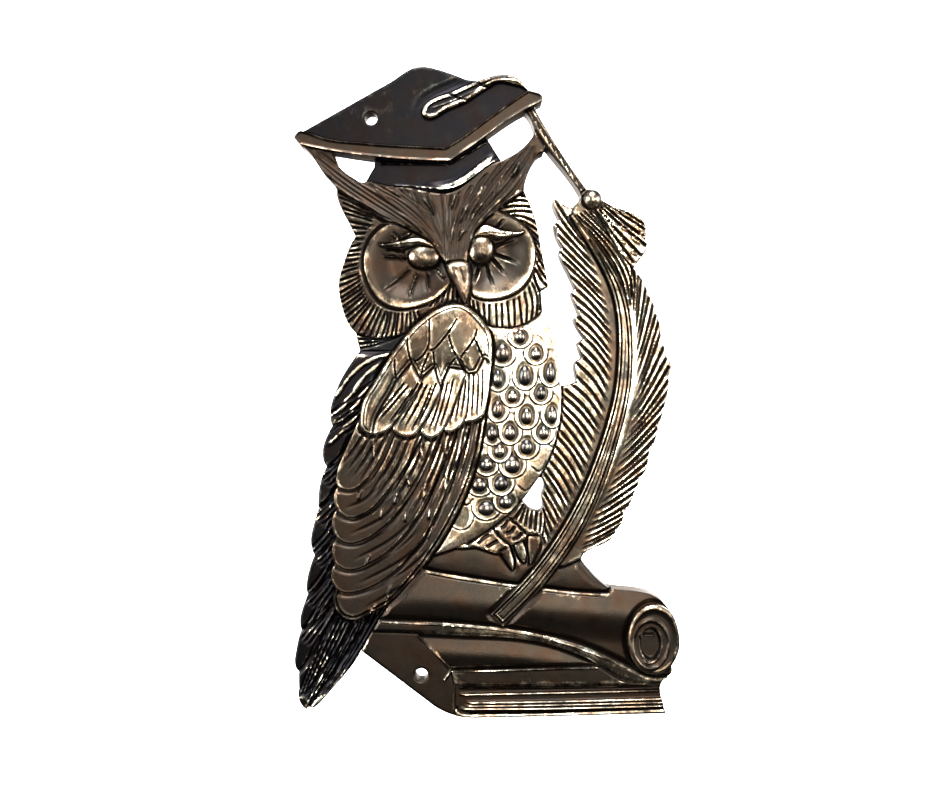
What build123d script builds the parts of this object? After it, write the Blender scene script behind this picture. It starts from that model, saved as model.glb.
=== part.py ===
from build123d import *
import math
import os

# Cast owl wall plaque: an owl in a scholar's cap, with a quill, a scroll and a book.
# Frame, in millimetres: the back face lies on Y = 0, the relief faces -Y and +Z is up.
# The origin is the centre of the plaque's outline, on the back face.

# overall sizes
overall_width = 118.0
overall_height = 200.0

# size of the design grid that the outlines below are drawn on
grid_width = 118.0
grid_height = 200.0

# back plate
plate_thickness = 4.0

# fixing holes, through the relief and the plate
screw_hole_radius = 2.0
upper_screw_hole = (-35.2, 84.1)
lower_screw_hole = (-19.7, -86.8)

# cast pegs on the back of the larger pieces, each in a blind socket in the plate
peg_radius = 1.2
peg_length = 2.0
peg_side_clearance = 0.1
peg_end_clearance = 0.3

# height of each kind of piece above the front of the plate
cap_board_height = 3.5
cap_edge_height = 5.5
cap_crown_height = 3.0
cap_cord_height = 4.8
tassel_cord_height = 3.5
tassel_bead_height = 4.0
tassel_fringe_height = 3.8
brow_height = 4.0
face_disc_height = 3.2
eye_base_height = 3.2
eyelid_height = 4.6
beak_height = 6.0
cheek_height = 3.0
ruff_height = 2.8
neck_height = 2.2
shoulder_height = 6.5
covert_height = 5.6
primary_height = 4.6
back_feather_height = 3.0
tail_height = 3.2
breast_height = 4.6
leg_height = 4.2
claw_height = 3.8
ground_height = 3.0
quill_shaft_height = 5.6
quill_vane_height = 3.4
scroll_sheet_height = 5.0
scroll_edge_height = 6.2
scroll_roll_height = 7.5
book_corner_height = 4.0
book_cover_height = 4.4
book_lip_height = 5.4
book_pages_height = 3.6
book_lower_cover_height = 4.4

# domed pieces
eye_rise = 2.2
bead_radius = 2.9
bead_rise = 1.8
boss_rise = 1.3
roll_hollow_depth = 2.6

# a shown patch smaller than this is left to the pieces around it, in square millimetres
smallest_patch = 2.0


def at(place):
    """Move a place from the design grid to the plaque's own size."""
    return (place[0] * overall_width / grid_width, place[1] * overall_height / grid_height)


def outline(*stretches):
    """A flat face inside joined stretches: two places make a line and more make a smooth curve."""
    edges = []
    run = []
    for stretch in stretches:
        run = run[-1:] + stretch
        places = [at(place) for place in run]
        edges.append(Line(*places) if len(places) == 2 else Spline(*places))
    if run[-1] != stretches[0][0]:
        edges.append(Line(at(run[-1]), at(stretches[0][0])))
    return make_face(edges)


def polygon(places):
    """A flat face with straight sides."""
    return make_face(Polyline(*[at(place) for place in places], close=True))


def ellipse(centre, half_width, half_height, turn=0.0):
    """A flat ellipse, turned anticlockwise by a number of degrees."""
    width_scale = overall_width / grid_width
    height_scale = overall_height / grid_height
    return Location(at(centre), turn) * Ellipse(half_width * width_scale, half_height * height_scale)


def ribbon(route):
    """A flat band along a route of (x, z, half width) places."""
    left = []
    right = []
    for number, (x, z, half_width) in enumerate(route):
        before = route[max(number - 1, 0)]
        after = route[min(number + 1, len(route) - 1)]
        run_x = after[0] - before[0]
        run_z = after[1] - before[1]
        length = math.hypot(run_x, run_z)
        left.append((x - half_width * run_z / length, z + half_width * run_x / length))
        right.append((x + half_width * run_z / length, z - half_width * run_x / length))
    return outline(left, [right[-1]], right[-2::-1])


# ---- the plaque's outline -------------------------------------------------------------------

plaque_outline = outline(
    # cap board, over the top and down to the tassel
    [(-58.6, 77.8), (-57.7, 79.1), (-55.8, 80.2)],
    [(-30, 94.8)],
    [(-26, 97.4), (-22.8, 99.3), (-19.2, 100), (-15, 99.2), (-10, 97.6), (-5, 95.9), (-1.9, 95.6)],
    [(1, 96.6), (4, 97.3), (7.5, 97.2), (10.3, 95.8), (12, 94), (13.2, 92.3)],
    [(15.4, 91.6), (17.2, 90.6), (17.5, 89.6), (16.4, 88.6), (15.2, 87.2)],
    [(20, 78.9), (25.6, 70.2), (31.2, 62.3)],
    # tassel
    [(33.4, 62), (35.2, 60.8), (36.1, 59)],
    [(40.2, 56.9), (44, 55.6), (47.3, 54.2), (48.9, 52.2), (49.4, 49.4), (49.3, 46.6)],
    [(49.7, 45.4), (49.1, 43.1), (47.6, 41), (45.7, 38.2)],
    # outer side of the quill's vane, with its broken barbs
    [(47.1, 36.4), (48.8, 33.8), (50, 30)],
    [(51.4, 28.2), (52.1, 26), (52.4, 24.6)],
    [(53.5, 21.8), (54, 18.8), (54, 16.5)],
    [(55.1, 14), (55.6, 11)],
    [(56.8, 9.4), (57.1, 7.5), (56.1, 4.9)],
    [(56.6, 2.4), (55.9, -1), (54.8, -6), (53.1, -10.2)],
    [(53.1, -12.2), (52, -15.4), (50.2, -19.6)],
    [(50, -22), (49.2, -24.4), (47.2, -26.4)],
    [(47, -28.6), (45.3, -32.2), (44.4, -34.6), (42.4, -36.8)],
    [(42.4, -39), (41.4, -41.2), (40.1, -42.4)],
    [(39.9, -44), (38.9, -45.2), (35, -47.4), (30.1, -49.8)],
    # ground, scroll and book
    [(29.6, -51.2), (31, -53.6), (34, -57), (37.6, -60)],
    [(43, -60.6), (48, -61.2), (52, -62.5), (55.4, -65.5), (57.9, -70), (59, -75.6), (58.6, -80), (57, -84)],
    [(57, -85.4), (56.2, -86.9), (54.6, -87.9), (53.6, -90)],
    [(53.6, -92), (54.3, -95), (55.2, -98.6)],
    [(20, -99.5)],
    [(-3.5, -100)],
    [(-7.5, -99.7), (-12, -98.4), (-16, -96.2)],
    [(-38.2, -79.4)],
    # tail, back and ruff
    [(-41.4, -84.6), (-45.6, -89.6), (-50, -94.6), (-52.6, -97), (-55, -97.6), (-56.8, -96), (-57.4, -91.5)],
    [(-57.5, -86)],
    [(-58.6, -84.2), (-58.5, -80.6), (-57.6, -76), (-56.8, -72.9)],
    [(-57.1, -70.4), (-56.2, -66.2), (-54.9, -62.3)],
    [(-55.1, -60.4), (-54.5, -55.4), (-52.7, -50.2)],
    [(-53.6, -47.8), (-53.4, -42.6), (-51.5, -35.6)],
    [(-51.5, -32), (-50.9, -28), (-49, -22.8)],
    [(-50.2, -19.4), (-49.6, -15.4), (-47.2, -10.3)],
    [(-47.9, -7), (-47.4, -3.4), (-45.9, 1), (-43.6, 5.6), (-41, 9.6), (-38.7, 12.8)],
    [(-39.3, 15), (-40, 18.3)],
    [(-42.2, 20.9), (-43.9, 25), (-45, 29.5), (-45.3, 33.2), (-44.6, 37), (-43.5, 40.4), (-42.2, 44), (-40.1, 47.9)],
    [(-41.3, 50.4), (-42.6, 53), (-44.2, 56), (-45.8, 60.8)],
    [(-46.4, 63.4), (-49.2, 66.5), (-50.9, 68.8), (-52.4, 71.2), (-56.7, 75.6)],
)

# the four places where the wall shows through
openings = [
    outline(  # under the left of the cap
        [(-46.9, 73.7), (-40, 72.6), (-34.2, 71.8)],
        [(-34.2, 69.2)],
        [(-35.3, 67.4), (-36.8, 64.7)],
        [(-38.2, 64.5), (-40.2, 65.5), (-42.8, 67.2), (-45.4, 69.8)],
    ),
    outline(  # under the right of the cap
        [(0.2, 78.4), (4, 81.2), (8, 83.9), (12, 86.2)],
        [(13.2, 84.8), (14.4, 82.3), (15.1, 79.9)],
        [(14.2, 78.1), (12.7, 76.2), (10.4, 74.1), (7.6, 72.3), (4.9, 70.9)],
    ),
    outline(  # between the owl and the quill
        [(18.4, 75.2), (21.2, 71.8), (24.8, 67.4), (27.7, 63.4), (29.2, 60.9)],
        [(29.2, 59.4)],
        [(27.8, 57.8), (26.2, 56.9), (24.4, 57.4), (22.6, 58.6), (20.9, 59.5)],
        [(20.8, 57.6), (21.7, 55.2), (22.7, 53.1)],
        [(21, 51.6)],
        [(21.3, 49.4), (22.3, 46.8), (23.5, 44.8)],
        [(22.5, 43.2)],
        [(23.2, 40.8), (25, 37.4), (26.4, 34.4), (27.5, 32)],
        [(26.3, 30.6)],
        [(26.9, 28.4), (28, 25.8), (28.8, 23.7)],
        [(27.1, 22.7)],
        [(28, 20.2), (29.4, 18), (30.4, 16.7)],
        [(28.2, 15.1)],
        [(28.9, 12.6), (29.7, 10.6)],
        [(27.9, 9.6)],
        [(27.3, 7.6), (27.8, 4.8), (27.8, 3.1)],
        [(25.4, 2.2), (23, 2.1)],
        [(22.5, 7.5), (21.8, 13), (20.8, 17.5), (19.2, 21.3), (17.5, 24.9)],
        [(17.3, 28), (17.1, 31.3)],
        [(19.3, 32.6)],
        [(18.5, 37.4), (17.2, 44), (16.2, 49.6), (14.8, 55), (13, 59.4), (11.8, 61.9)],
        [(12.3, 65), (13.3, 68), (14.8, 71), (16.2, 72.8), (17.7, 73.5)],
    ),
    outline(  # above the foot
        [(17.3, -26.3), (16.3, -26.4)],
        [(11.3, -33.5)],
        [(13, -35.2), (15.4, -36.6), (16.8, -36.6)],
        [(17.7, -34.4), (17.3, -32), (18, -29.6), (17.9, -27.6)],
    ),
]

# ---- outlines of the pieces, from the foremost to the rearmost ------------------------------

# round pieces: centre, half width and half height, and turn in degrees
eye_left_centre = (-18.9, 41.6)
eye_left_half_sizes = (4.7, 3.4)
eye_right_centre = (-1.4, 43.7)
eye_right_half_sizes = (3.7, 4.1)
eye_right_turn = -20
bead_centre = (32.9, 59.2)
roll_hollow = ((50.2, -76.2), 4.4, 6.6)

# the quill's shaft: x, z and half width
shaft_route = [
    (3.4, -69.8, 2.7),
    (8.5, -64.8, 2.7),
    (13.2, -60, 2.7),
    (17.4, -55, 2.6),
    (21.2, -50, 2.6),
    (27.6, -40, 2.6),
    (32.5, -30, 2.4),
    (36.3, -20, 2.2),
    (39.4, -10, 2),
    (41.7, 0, 1.9),
    (42.6, 10, 1.8),
    (42.4, 20, 1.6),
    (40.6, 30, 1.4),
    (36.3, 39.4, 1.1),
    (31.4, 47, 0.8),
    (26.4, 54, 0.4),
]
shaft_line = [place[:2] for place in shaft_route]

# the cord's hanging length: x, z and half width
tassel_cord_route = [(13.4, 87.5, 1.8), (17.8, 79.4, 1.8), (24, 70.4, 1.6), (30.2, 61.6, 1.4)]

# long feathers of the wing: each tip and lower edge, run up to where the coverts hide it
primary_edges = [
    [(-44.4, -21), (-45.7, -25), (-45.2, -29), (-42, -30.2), (-38.4, -28.8), (-34.4, -24.4), (-31, -18),
     (-27, -8)],
    [(-45.4, -29), (-46.4, -34), (-44.2, -37.6), (-40.6, -38.8), (-37.6, -37.8), (-32.6, -33.6), (-27.4, -27.2),
     (-22.6, -19.6), (-17, -8)],
    [(-45.8, -36), (-47, -41.6), (-45, -45.4), (-42, -46.6), (-38.6, -46.1), (-34, -43.6), (-28, -38.4),
     (-23.2, -32), (-18.4, -23.4), (-11, -8)],
    [(-46, -45), (-47.2, -49.2), (-46, -52.8), (-43, -54.6), (-39.2, -54.4), (-34.6, -52.2), (-28.8, -48),
     (-23.4, -42), (-18.4, -34), (-13, -22.6), (-6.6, -6)],
    [(-46.2, -52.6), (-47.4, -56.6), (-46.2, -60), (-43.6, -61.6), (-39.8, -61.5), (-35, -59.9), (-29.4, -56.4),
     (-24, -51.2), (-18.8, -44.6), (-14.4, -36), (-9.8, -25), (-3, -6)],
]
primary_hidden_side = [(-14, 6), (-36, -2)]

# short feathers over them: each tip and right edge, run up to where the shoulder hides it
covert_edges = [
    [(-36, -8), (-36, -12.6), (-34.2, -13.1), (-32.4, -12.9), (-30.2, -11.9), (-28.3, -10.4),
     (-25.5, -6.4), (-22, -1.4), (-19.4, 3.2), (-17, 9)],
    [(-28.6, -10), (-27.6, -12.4), (-25, -13.6), (-22.2, -13.3), (-19.6, -10.8), (-17, -6.5), (-14.8, -2),
     (-13.2, 2.4), (-11.6, 9)],
    [(-19.8, -10.4), (-19, -13.2), (-17.3, -14.1), (-14.6, -13.3), (-12.8, -11.4), (-10.7, -7), (-8.5, -1.5),
     (-6.3, 5), (-5, 10)],
    [(-13, -11), (-11.4, -12.3), (-8.8, -11.4), (-6.6, -9), (-5.6, -5), (-5.2, 0), (-5, 10)],
]
covert_hidden_side = [(-20, 14), (-32, 4)]

# scalloped feathers down the back: the lower edge of each, from the outside in
back_edges = [
    [(-50, -11.2), (-47.2, -10.2), (-44, -8.8), (-40.6, -6.9), (-36, -4.4)],
    [(-52, -23.4), (-49, -22.7), (-46.4, -22), (-43.4, -19.6), (-38, -14)],
    [(-54, -37), (-51.4, -35.3), (-49, -33.6), (-46.4, -31.2), (-42, -26)],
    [(-55, -51.6), (-52.7, -50), (-50.4, -48.4), (-47.8, -45), (-43, -38)],
    [(-57, -63.6), (-54.9, -62.1), (-52.4, -60.6), (-49.2, -57.4), (-44, -50)],
    [(-59, -74), (-56.7, -72.7), (-53.8, -71.2), (-50.8, -69.6), (-48.2, -66.2), (-43, -59)],
    [(-60, -87), (-57.4, -85.7), (-55, -83), (-51.6, -77.4), (-48, -71.4), (-42, -62)],
]
back_hidden_side = [(-28, 4), (-30, 24), (-62, 24), (-62, -10)]

# right edges of the tail feathers, from the tip up
tail_edges = [
    [(-58.6, -92.4), (-56.4, -92.6), (-52, -87.4), (-47.4, -81.6), (-43.6, -75), (-40.8, -69.6), (-36, -60)],
    [(-55.6, -99.6), (-54.2, -96), (-49.4, -89.6), (-44.6, -82.4), (-39.8, -75.2), (-36, -69.4), (-30, -60)],
    [(-50, -99.6), (-38, -79.4), (-34.8, -73.4), (-31.6, -68), (-29.6, -64.8), (-26, -60)],
]
tail_hidden_side = [(-30, -40), (-62, -50), (-64, -90)]

breast_lower_edge = [(16.8, -25.7), (11.2, -33.4), (6.6, -38.3), (2, -42), (-4.4, -45.8), (-10, -48.2), (-17, -50.4)]
breast_right_edge = [(23.3, 2), (23.4, -4), (22.9, -8.6), (22, -13), (20.7, -17.5), (18.8, -21.8), (16.8, -25.7)]

scroll_band_top = [(-34, -69.4), (-20, -69.9), (-10, -70.4), (0, -71.3), (10, -72.6), (20, -74.6), (30, -77.5),
                   (38, -81), (44.4, -84.1), (49, -86.2)]
scroll_band_bottom = [(53.8, -89.3), (49.6, -89.5), (45, -88.9), (41.2, -87.5), (37, -85), (32.6, -82.3),
                      (26.6, -79.5), (20, -77.3), (12, -75.7), (5, -75), (-5, -74.6), (-20, -73.9), (-36, -73.4)]
cover_top_edge = [(-10.4, -85.3), (0, -84.9), (20, -84.2), (36, -83.8)]


def nested(edges, hidden_side):
    """Shapes that lie one behind the other, each running further out than the one before."""
    return [outline(edge, [hidden_side[0]], *[[place] for place in hidden_side[1:]]) for edge in edges]


def numbered(name, shapes, height):
    """Named pieces of one height, numbered from 1."""
    return [(f"{name}_{number}", shape, height) for number, shape in enumerate(shapes, 1)]


upper_lip = [(-60, 79.8), (-55.8, 79.7), (-50, 77.8), (-40, 76.3), (-30, 75.5), (-20, 75), (-12.4, 74.6)]
upper_lip_right = [(-6, 78.6), (0.3, 83.3), (6.6, 87.8), (14, 92.8)]
lower_lip = [(-10.8, 70.8), (-20, 70.9), (-30, 71.6), (-40, 72.7), (-50, 74.3), (-60, 76.6)]
lower_lip_right = [(15.6, 88.2), (12, 86.3), (6.2, 82.8), (0.2, 78.4), (-5.4, 74.4), (-10.8, 70.8)]

brow_left_edge = [(-48, 63.6), (-43, 61), (-38, 57.5), (-34, 54.8), (-30, 52.6), (-25, 51), (-20, 48.4),
                  (-16.2, 45.3), (-14, 42.2), (-12.2, 39.6)]
brow_right_edge = [(-12.2, 39.6), (-8.5, 40.2), (-5.8, 39.8)]
brow_right_top = [(-5.8, 39.8), (-5.2, 43.2), (-4.2, 47), (-1.8, 51.4), (2.4, 55.2), (7, 58.8), (11.8, 61.9)]

pieces = [
    # tassel and cap
    ("tassel_bead", Location(at(bead_centre)) * Circle(bead_radius), tassel_bead_height),
    ("cap_cord_loop", outline(
        [(-19.5, 85.8), (-18.9, 87.6), (-17.2, 89.2), (-11.3, 91.6), (-5, 94.4), (-1.9, 95.6)],
        [(-2, 99)], [(14, 99)], [(13.2, 92.3)],
        [(11.9, 93.3), (8, 94.5), (4, 95.1), (1, 93.5), (-2.5, 91.3), (-5.4, 89.3), (-9, 87.7), (-13.3, 85.6),
         (-15.6, 84.2), (-17.6, 83.9), (-19, 84.6), (-19.5, 85.8)],
    ), cap_cord_height),
    ("cap_edge", outline(
        upper_lip, upper_lip_right, [(19, 92.6)], [(19, 88.2)], [lower_lip_right[0]], lower_lip_right[1:],
        lower_lip[1:], [(-62, 76)],
    ), cap_edge_height),
    ("cap_board", polygon([(-62, 78), (-30, 104), (18, 104), (18, 90), (-12, 72), (-60, 77)]), cap_board_height),
    ("tassel_cord", ribbon(tassel_cord_route), tassel_cord_height),
    ("cap_crown", outline(
        [(-33, 74), (-34.2, 71.6)], [(-34.2, 69.2)], [(-35.3, 67.4), (-36.8, 64.7)],
        [(-36, 64.6), (-30, 63.3), (-22.5, 62.4), (-16.7, 61.2), (-10.6, 61.2), (-6.3, 63.5), (-1.7, 67.4),
         (4.9, 70.9)],
        [(0.2, 78.4)], [(-10, 74)],
    ), cap_crown_height),
    ("tassel_fringe", outline(
        [(33.6, 56.6), (35.2, 53.4), (37.2, 50.2), (39.2, 46.6), (41, 43.4), (43, 41), (45.7, 38.2)],
        [(54, 40)], [(54, 56)], [(34, 62)],
    ), tassel_fringe_height),
    # head
    ("beak", outline(
        [(-12.2, 39), (-10, 40.1), (-7.6, 40.3), (-5, 39.5)],
        [(-4.5, 37), (-4.6, 33.4), (-5.2, 30), (-6.3, 27.2)],
        [(-8, 29.8), (-9.4, 32.8), (-10.8, 35.4), (-12.2, 39)],
    ), beak_height),
    ("brow_left", outline(
        brow_left_edge, [(-12.6, 50), (-13.6, 62.5)], [(-36, 68)], [(-48, 78)], [(-60, 77)],
    ), brow_height),
    ("brow_right", outline(
        brow_right_edge, brow_right_top[1:], [(22, 74)], [(18, 82)], [(-13.6, 68)], [(-13.6, 62.5)],
        [(-12.6, 50), (-12.2, 39.6)],
    ), brow_height),
    ("eyelids", outline(
        [(-32.6, 45.3), (-28, 45.8), (-24, 46.9), (-21, 47.3), (-18.4, 46.6), (-16, 44.6)],
        [(-18.4, 45), (-21.4, 45.1), (-25, 44.6), (-28.4, 44.6), (-32.6, 45.3)],
    ) + outline(
        [(-3.4, 47.6), (-2, 50), (0, 51.2), (2.6, 50.4), (6, 49.4), (11.6, 49.2)],
        [(8.6, 47.8), (4.4, 47.3), (0.6, 48), (-3.4, 47.6)],
    ), eyelid_height),
    ("eye_left", ellipse(eye_left_centre, *eye_left_half_sizes), eye_base_height),
    ("eye_right", ellipse(eye_right_centre, *eye_right_half_sizes, eye_right_turn), eye_base_height),
    ("face_disc_left", outline(
        [(-28.3, 51.8), (-31.6, 50.6), (-34.8, 47.6), (-36.8, 43.8), (-37.4, 40), (-36.7, 35.8), (-34.6, 31),
         (-31.2, 27.2), (-27.4, 25.9), (-22, 26.3), (-16.2, 28.4), (-12.4, 31.4), (-10.2, 34.2)],
        [(-9, 42)], [(-20, 54)],
    ), face_disc_height),
    ("face_disc_right", outline(
        [(5, 54.2), (9, 53), (12.4, 50.4), (14.6, 47), (15.2, 43), (14.7, 38.6), (12.9, 34.4), (9.8, 31.2),
         (6, 29.4), (2, 28.7), (-1.4, 29), (-4.6, 30.8)],
        [(-7, 34)], [(-7, 48)], [(0, 56)],
    ), face_disc_height),
    # wing
    ("wing_shoulder", outline(
        [(-34.2, -13), (-36.2, -13), (-38.1, -11.3), (-38.5, -7.6), (-37.6, -3), (-34.6, 2.2), (-30.6, 8.8),
         (-26.4, 14.8), (-22, 20), (-17.4, 23.8), (-12.4, 26.4), (-8.6, 27), (-4.8, 25.6), (-1.4, 22.4),
         (1, 19), (2.1, 14.4), (1.8, 8)],
        [(-0.3, 10)], [(-2.7, 5.6)], [(-5.4, 5.2)], [(-6.9, 6.6)], [(-11, 7.3)], [(-13.8, 0.8)], [(-15.8, 7.2)],
        [(-20, 3.5)], [(-22.6, 8.6)], [(-27.3, 3)],
        [(-30.6, -3), (-33.4, -8.4), (-34.2, -13)],
    ), shoulder_height),
    *numbered("wing_covert", nested(covert_edges, covert_hidden_side), covert_height),
    ("wing_covert_5", outline(
        [(-6.8, -9), (-4.6, -9.2), (-2.6, -8.6), (-0.6, -7)],
        [(0.4, -3), (1.2, 3), (1.9, 9)], [(-6, 14)],
    ), covert_height),
    *numbered("wing_primary", nested(primary_edges, primary_hidden_side), primary_height),
    ("wing_primary_6", outline(
        [(-46, -60.6), (-46.8, -64), (-45.6, -67.4), (-43, -69.6), (-39.8, -70), (-36, -68.4), (-30, -65.2),
         (-25.2, -60.8), (-20.2, -55), (-16.3, -49.8), (-12, -43), (-8.6, -36.6), (-5.6, -30), (-3.2, -23),
         (-1.2, -14.6), (0, -6.4), (1, 2)],
        [(-20, 0)], [(-36, -40)],
    ), primary_height),
    # ruff round the face
    ("cheek_feathers_right", outline(
        [(17.1, 31.3), (15.6, 34.6), (15, 38), (15.4, 43), (14.4, 48), (12, 51.6), (8.6, 53.8), (4.6, 55.6)],
        [(2, 57)], [(12, 64)], [(22, 50)], [(22, 32)], [(19.3, 30.6)],
    ), cheek_height),
    ("ruff_right", outline(
        [(-7, 34), (-7, 25)], [(-3, 21)], [(1, 20.3), (4.6, 19.8), (8.4, 19.8), (12, 20.8), (15, 22.6), (17.4, 24.9)],
        [(22, 27)], [(22, 31)], [(17.4, 31.6)], [(14, 50)], [(-2, 50)],
    ), ruff_height),
    ("ruff_left", outline(
        [(-42, 18.4), (-39.6, 18.2), (-36.3, 17.1), (-30, 16.9), (-26, 17.8), (-23, 19.4)],
        [(-20, 14)], [(-6, 20)], [(-6, 40)], [(-30, 56)], [(-50, 66)], [(-52, 40)],
    ), ruff_height),
    ("neck_feathers", polygon([(-44, 19), (-20, 22), (-27.6, 12.7), (-31, 12.5), (-38.7, 12.7), (-44, 13)]),
     neck_height),
    *numbered("back_feather", nested(back_edges, back_hidden_side), back_feather_height),
    *numbered("tail_feather", nested(tail_edges, tail_hidden_side), tail_height),
    # breast and foot
    ("breast", outline(
        breast_right_edge, breast_lower_edge[1:], [(-24, -54)], [(-14, -20)], [(-4, 30)], [(26, 30)],
    ), breast_height),
    ("claws", outline(
        [(4.2, -49), (6, -51.6), (8.4, -54.9)], [(8.8, -52.6), (8.3, -50), (7.4, -47.2)],
    ) + outline(
        [(8.6, -46.8), (9.6, -49.6), (11.9, -52.6)], [(12.8, -50.6), (12.5, -48.4), (11.4, -45.6)],
    ) + outline(
        [(12.9, -44), (13, -49), (13.7, -53.2)], [(15.8, -50.6), (17, -47.4), (17, -44)],
    ), claw_height),
    ("toes", outline(
        [(2.2, -41.9), (4.6, -44.8), (7.2, -47)], [(6.2, -49.2), (2, -49.2), (-3.6, -47.6)], [(-9, -48)], [(-6, -42)],
    ) + outline(
        [(6.6, -38.2), (10, -41.2), (12.6, -44)], [(11, -46.2), (9.2, -47), (7.6, -47)],
        [(4.9, -44.6), (2.4, -41.7)],
    ), leg_height),
    ("leg", outline(
        [(11.2, -33.2), (14, -33)], [(17.3, -35.8)], [(18, -38.8), (17.6, -42), (17, -44.8)],
        [(14.6, -43.4), (12.6, -44)], [(10, -41.2), (6.6, -38.2)], [(6, -34)],
    ), leg_height),
    # quill
    ("quill_shaft", ribbon(shaft_route), quill_shaft_height),
    ("quill_vane_inner", outline(
        shaft_line[3:], [(27, 63)], [(18.6, 62)], [(18.6, 56)], [(20, 46)], [(20.4, 31)], [(23, 20)], [(24.5, 4)], [(20, 3)],
        [(14, -20)], [(14, -50)], [(16, -54)],
    ), quill_vane_height),
    ("quill_vane_outer", outline(
        shaft_line[4:], [(29, 64)], [(36, 62)], [(50, 50)], [(64, 20)], [(60, -30)], [(34, -50)],
        [(29.6, -51), (26, -52.7), (21.3, -53.6)],
    ), quill_vane_height),
    # scroll
    ("scroll_roll", ellipse((51.2, -75.3), 8, 10.7), scroll_roll_height),
    ("scroll_edge", outline(
        scroll_band_top, [(60, -88)], [(60, -92)], [scroll_band_bottom[0]], scroll_band_bottom[1:],
    ), scroll_edge_height),
    ("scroll_sheet", outline(
        [(-22, -53.4), (-18.8, -54.3), (-10, -56), (0, -57.6), (9, -59), (16, -59.8), (26, -61), (37.6, -61.6)],
        [(40, -58)], [(64, -58)], [(64, -88)], [(49, -87)], [(36, -82)], [(20, -76)], [(0, -73)], [(-36, -72)],
    ), scroll_sheet_height),
    # ground under the foot, either side of the quill
    ("ground", outline(
        [(-24, -58), (-17, -50.4), (-12, -48.6), (-6, -47.4), (0, -48)], [(10, -40)], [(17, -40)], [(19, -50)],
        [(26, -49)], [(32, -48)], [(44, -56)], [(44, -66)], [(10, -66)],
    ), ground_height),
    # book
    ("book_lower_cover", outline(
        [(-9.3, -97), (-7.6, -98.2), (-4.4, -98.8)], [(20, -98.5)], [(58, -97)], [(58, -104)], [(-9.3, -104)],
    ), book_lower_cover_height),
    ("book_pages", outline(
        [(-9.3, -89.9), (10, -90), (30, -89.8), (58, -89.8)], [(58, -99)], [(-4, -99)], [(-9.3, -97)],
    ), book_pages_height),
    ("book_cover_lip", outline(
        cover_top_edge, [(40, -86.8)], [(60, -86)], [(60, -90.5)], [(-9.3, -90.5)],
    ), book_lip_height),
    ("book_cover", outline(
        [(-20.8, -74), (-18.2, -77.4), (-14.4, -81), (-10.4, -85.3)], [(0, -86)], [(44, -92)], [(44, -70)],
        [(-20, -70)],
    ), book_cover_height),
    ("book_corner", polygon([(-60, -70), (-14, -70), (-6, -90), (-6, -104), (-60, -104)]), book_corner_height),
]

# where the pegs stand, by piece
peg_places = {
    "cap_board": [(-46, 80), (-22, 92), (-8, 82)],
    "cap_edge": [(-28, 73.4), (4, 83.6)],
    "cap_crown": [(-24, 67), (-8, 67)],
    "tassel_bead": [(32.9, 59.2)],
    "tassel_fringe": [(43, 50)],
    "beak": [(-8, 36)],
    "brow_left": [(-30, 57), (-17, 54)],
    "brow_right": [(-7, 50), (6, 66)],
    "eye_left": [(-18.9, 41.6)],
    "eye_right": [(-1.4, 43.7)],
    "face_disc_left": [(-31, 40), (-22, 31)],
    "face_disc_right": [(9, 44), (4, 34)],
    "cheek_feathers_right": [(16.6, 38)],
    "ruff_left": [(-41, 34), (-31, 21.5)],
    "ruff_right": [(8, 24.5)],
    "wing_shoulder": [(-26, 8), (-8, 20)],
    "wing_covert_1": [(-33, -8)],
    "wing_covert_2": [(-22, -8)],
    "wing_covert_3": [(-14, -8)],
    "wing_covert_4": [(-8, -6)],
    "wing_covert_5": [(-3, -4)],
    "wing_primary_1": [(-39, -22)],
    "wing_primary_2": [(-38, -33)],
    "wing_primary_3": [(-38, -41)],
    "wing_primary_4": [(-38, -49.5)],
    "wing_primary_5": [(-36, -56.5)],
    "wing_primary_6": [(-38, -65), (-8, -28)],
    "back_feather_1": [(-43, 0)],
    "back_feather_2": [(-46, -15)],
    "back_feather_3": [(-48.6, -28)],
    "back_feather_4": [(-50.4, -42)],
    "back_feather_5": [(-51.4, -55)],
    "back_feather_6": [(-53, -66)],
    "back_feather_7": [(-55, -78)],
    "tail_feather_1": [(-53, -86)],
    "tail_feather_2": [(-46, -81)],
    "tail_feather_3": [(-40, -78)],
    "breast": [(14, 12), (10, -16), (0, -32)],
    "leg": [(13.4, -39)],
    "quill_shaft": [(12, -61.2), (32.5, -30), (42.6, 10)],
    "quill_vane_inner": [(28, 0), (34, 26), (27, 46)],
    "quill_vane_outer": [(48, 0), (44, -22), (34, -43)],
    "ground": [(-6, -52.5), (27, -57)],
    "scroll_sheet": [(-20, -63), (26, -68)],
    "scroll_edge": [(-10, -72.6), (24, -77)],
    "scroll_roll": [(53, -84)],
    "book_corner": [(-28, -79)],
    "book_cover": [(0, -80)],
    "book_cover_lip": [(-4, -87.4), (30, -87)],
    "book_pages": [(4, -94), (46, -94)],
}

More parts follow.
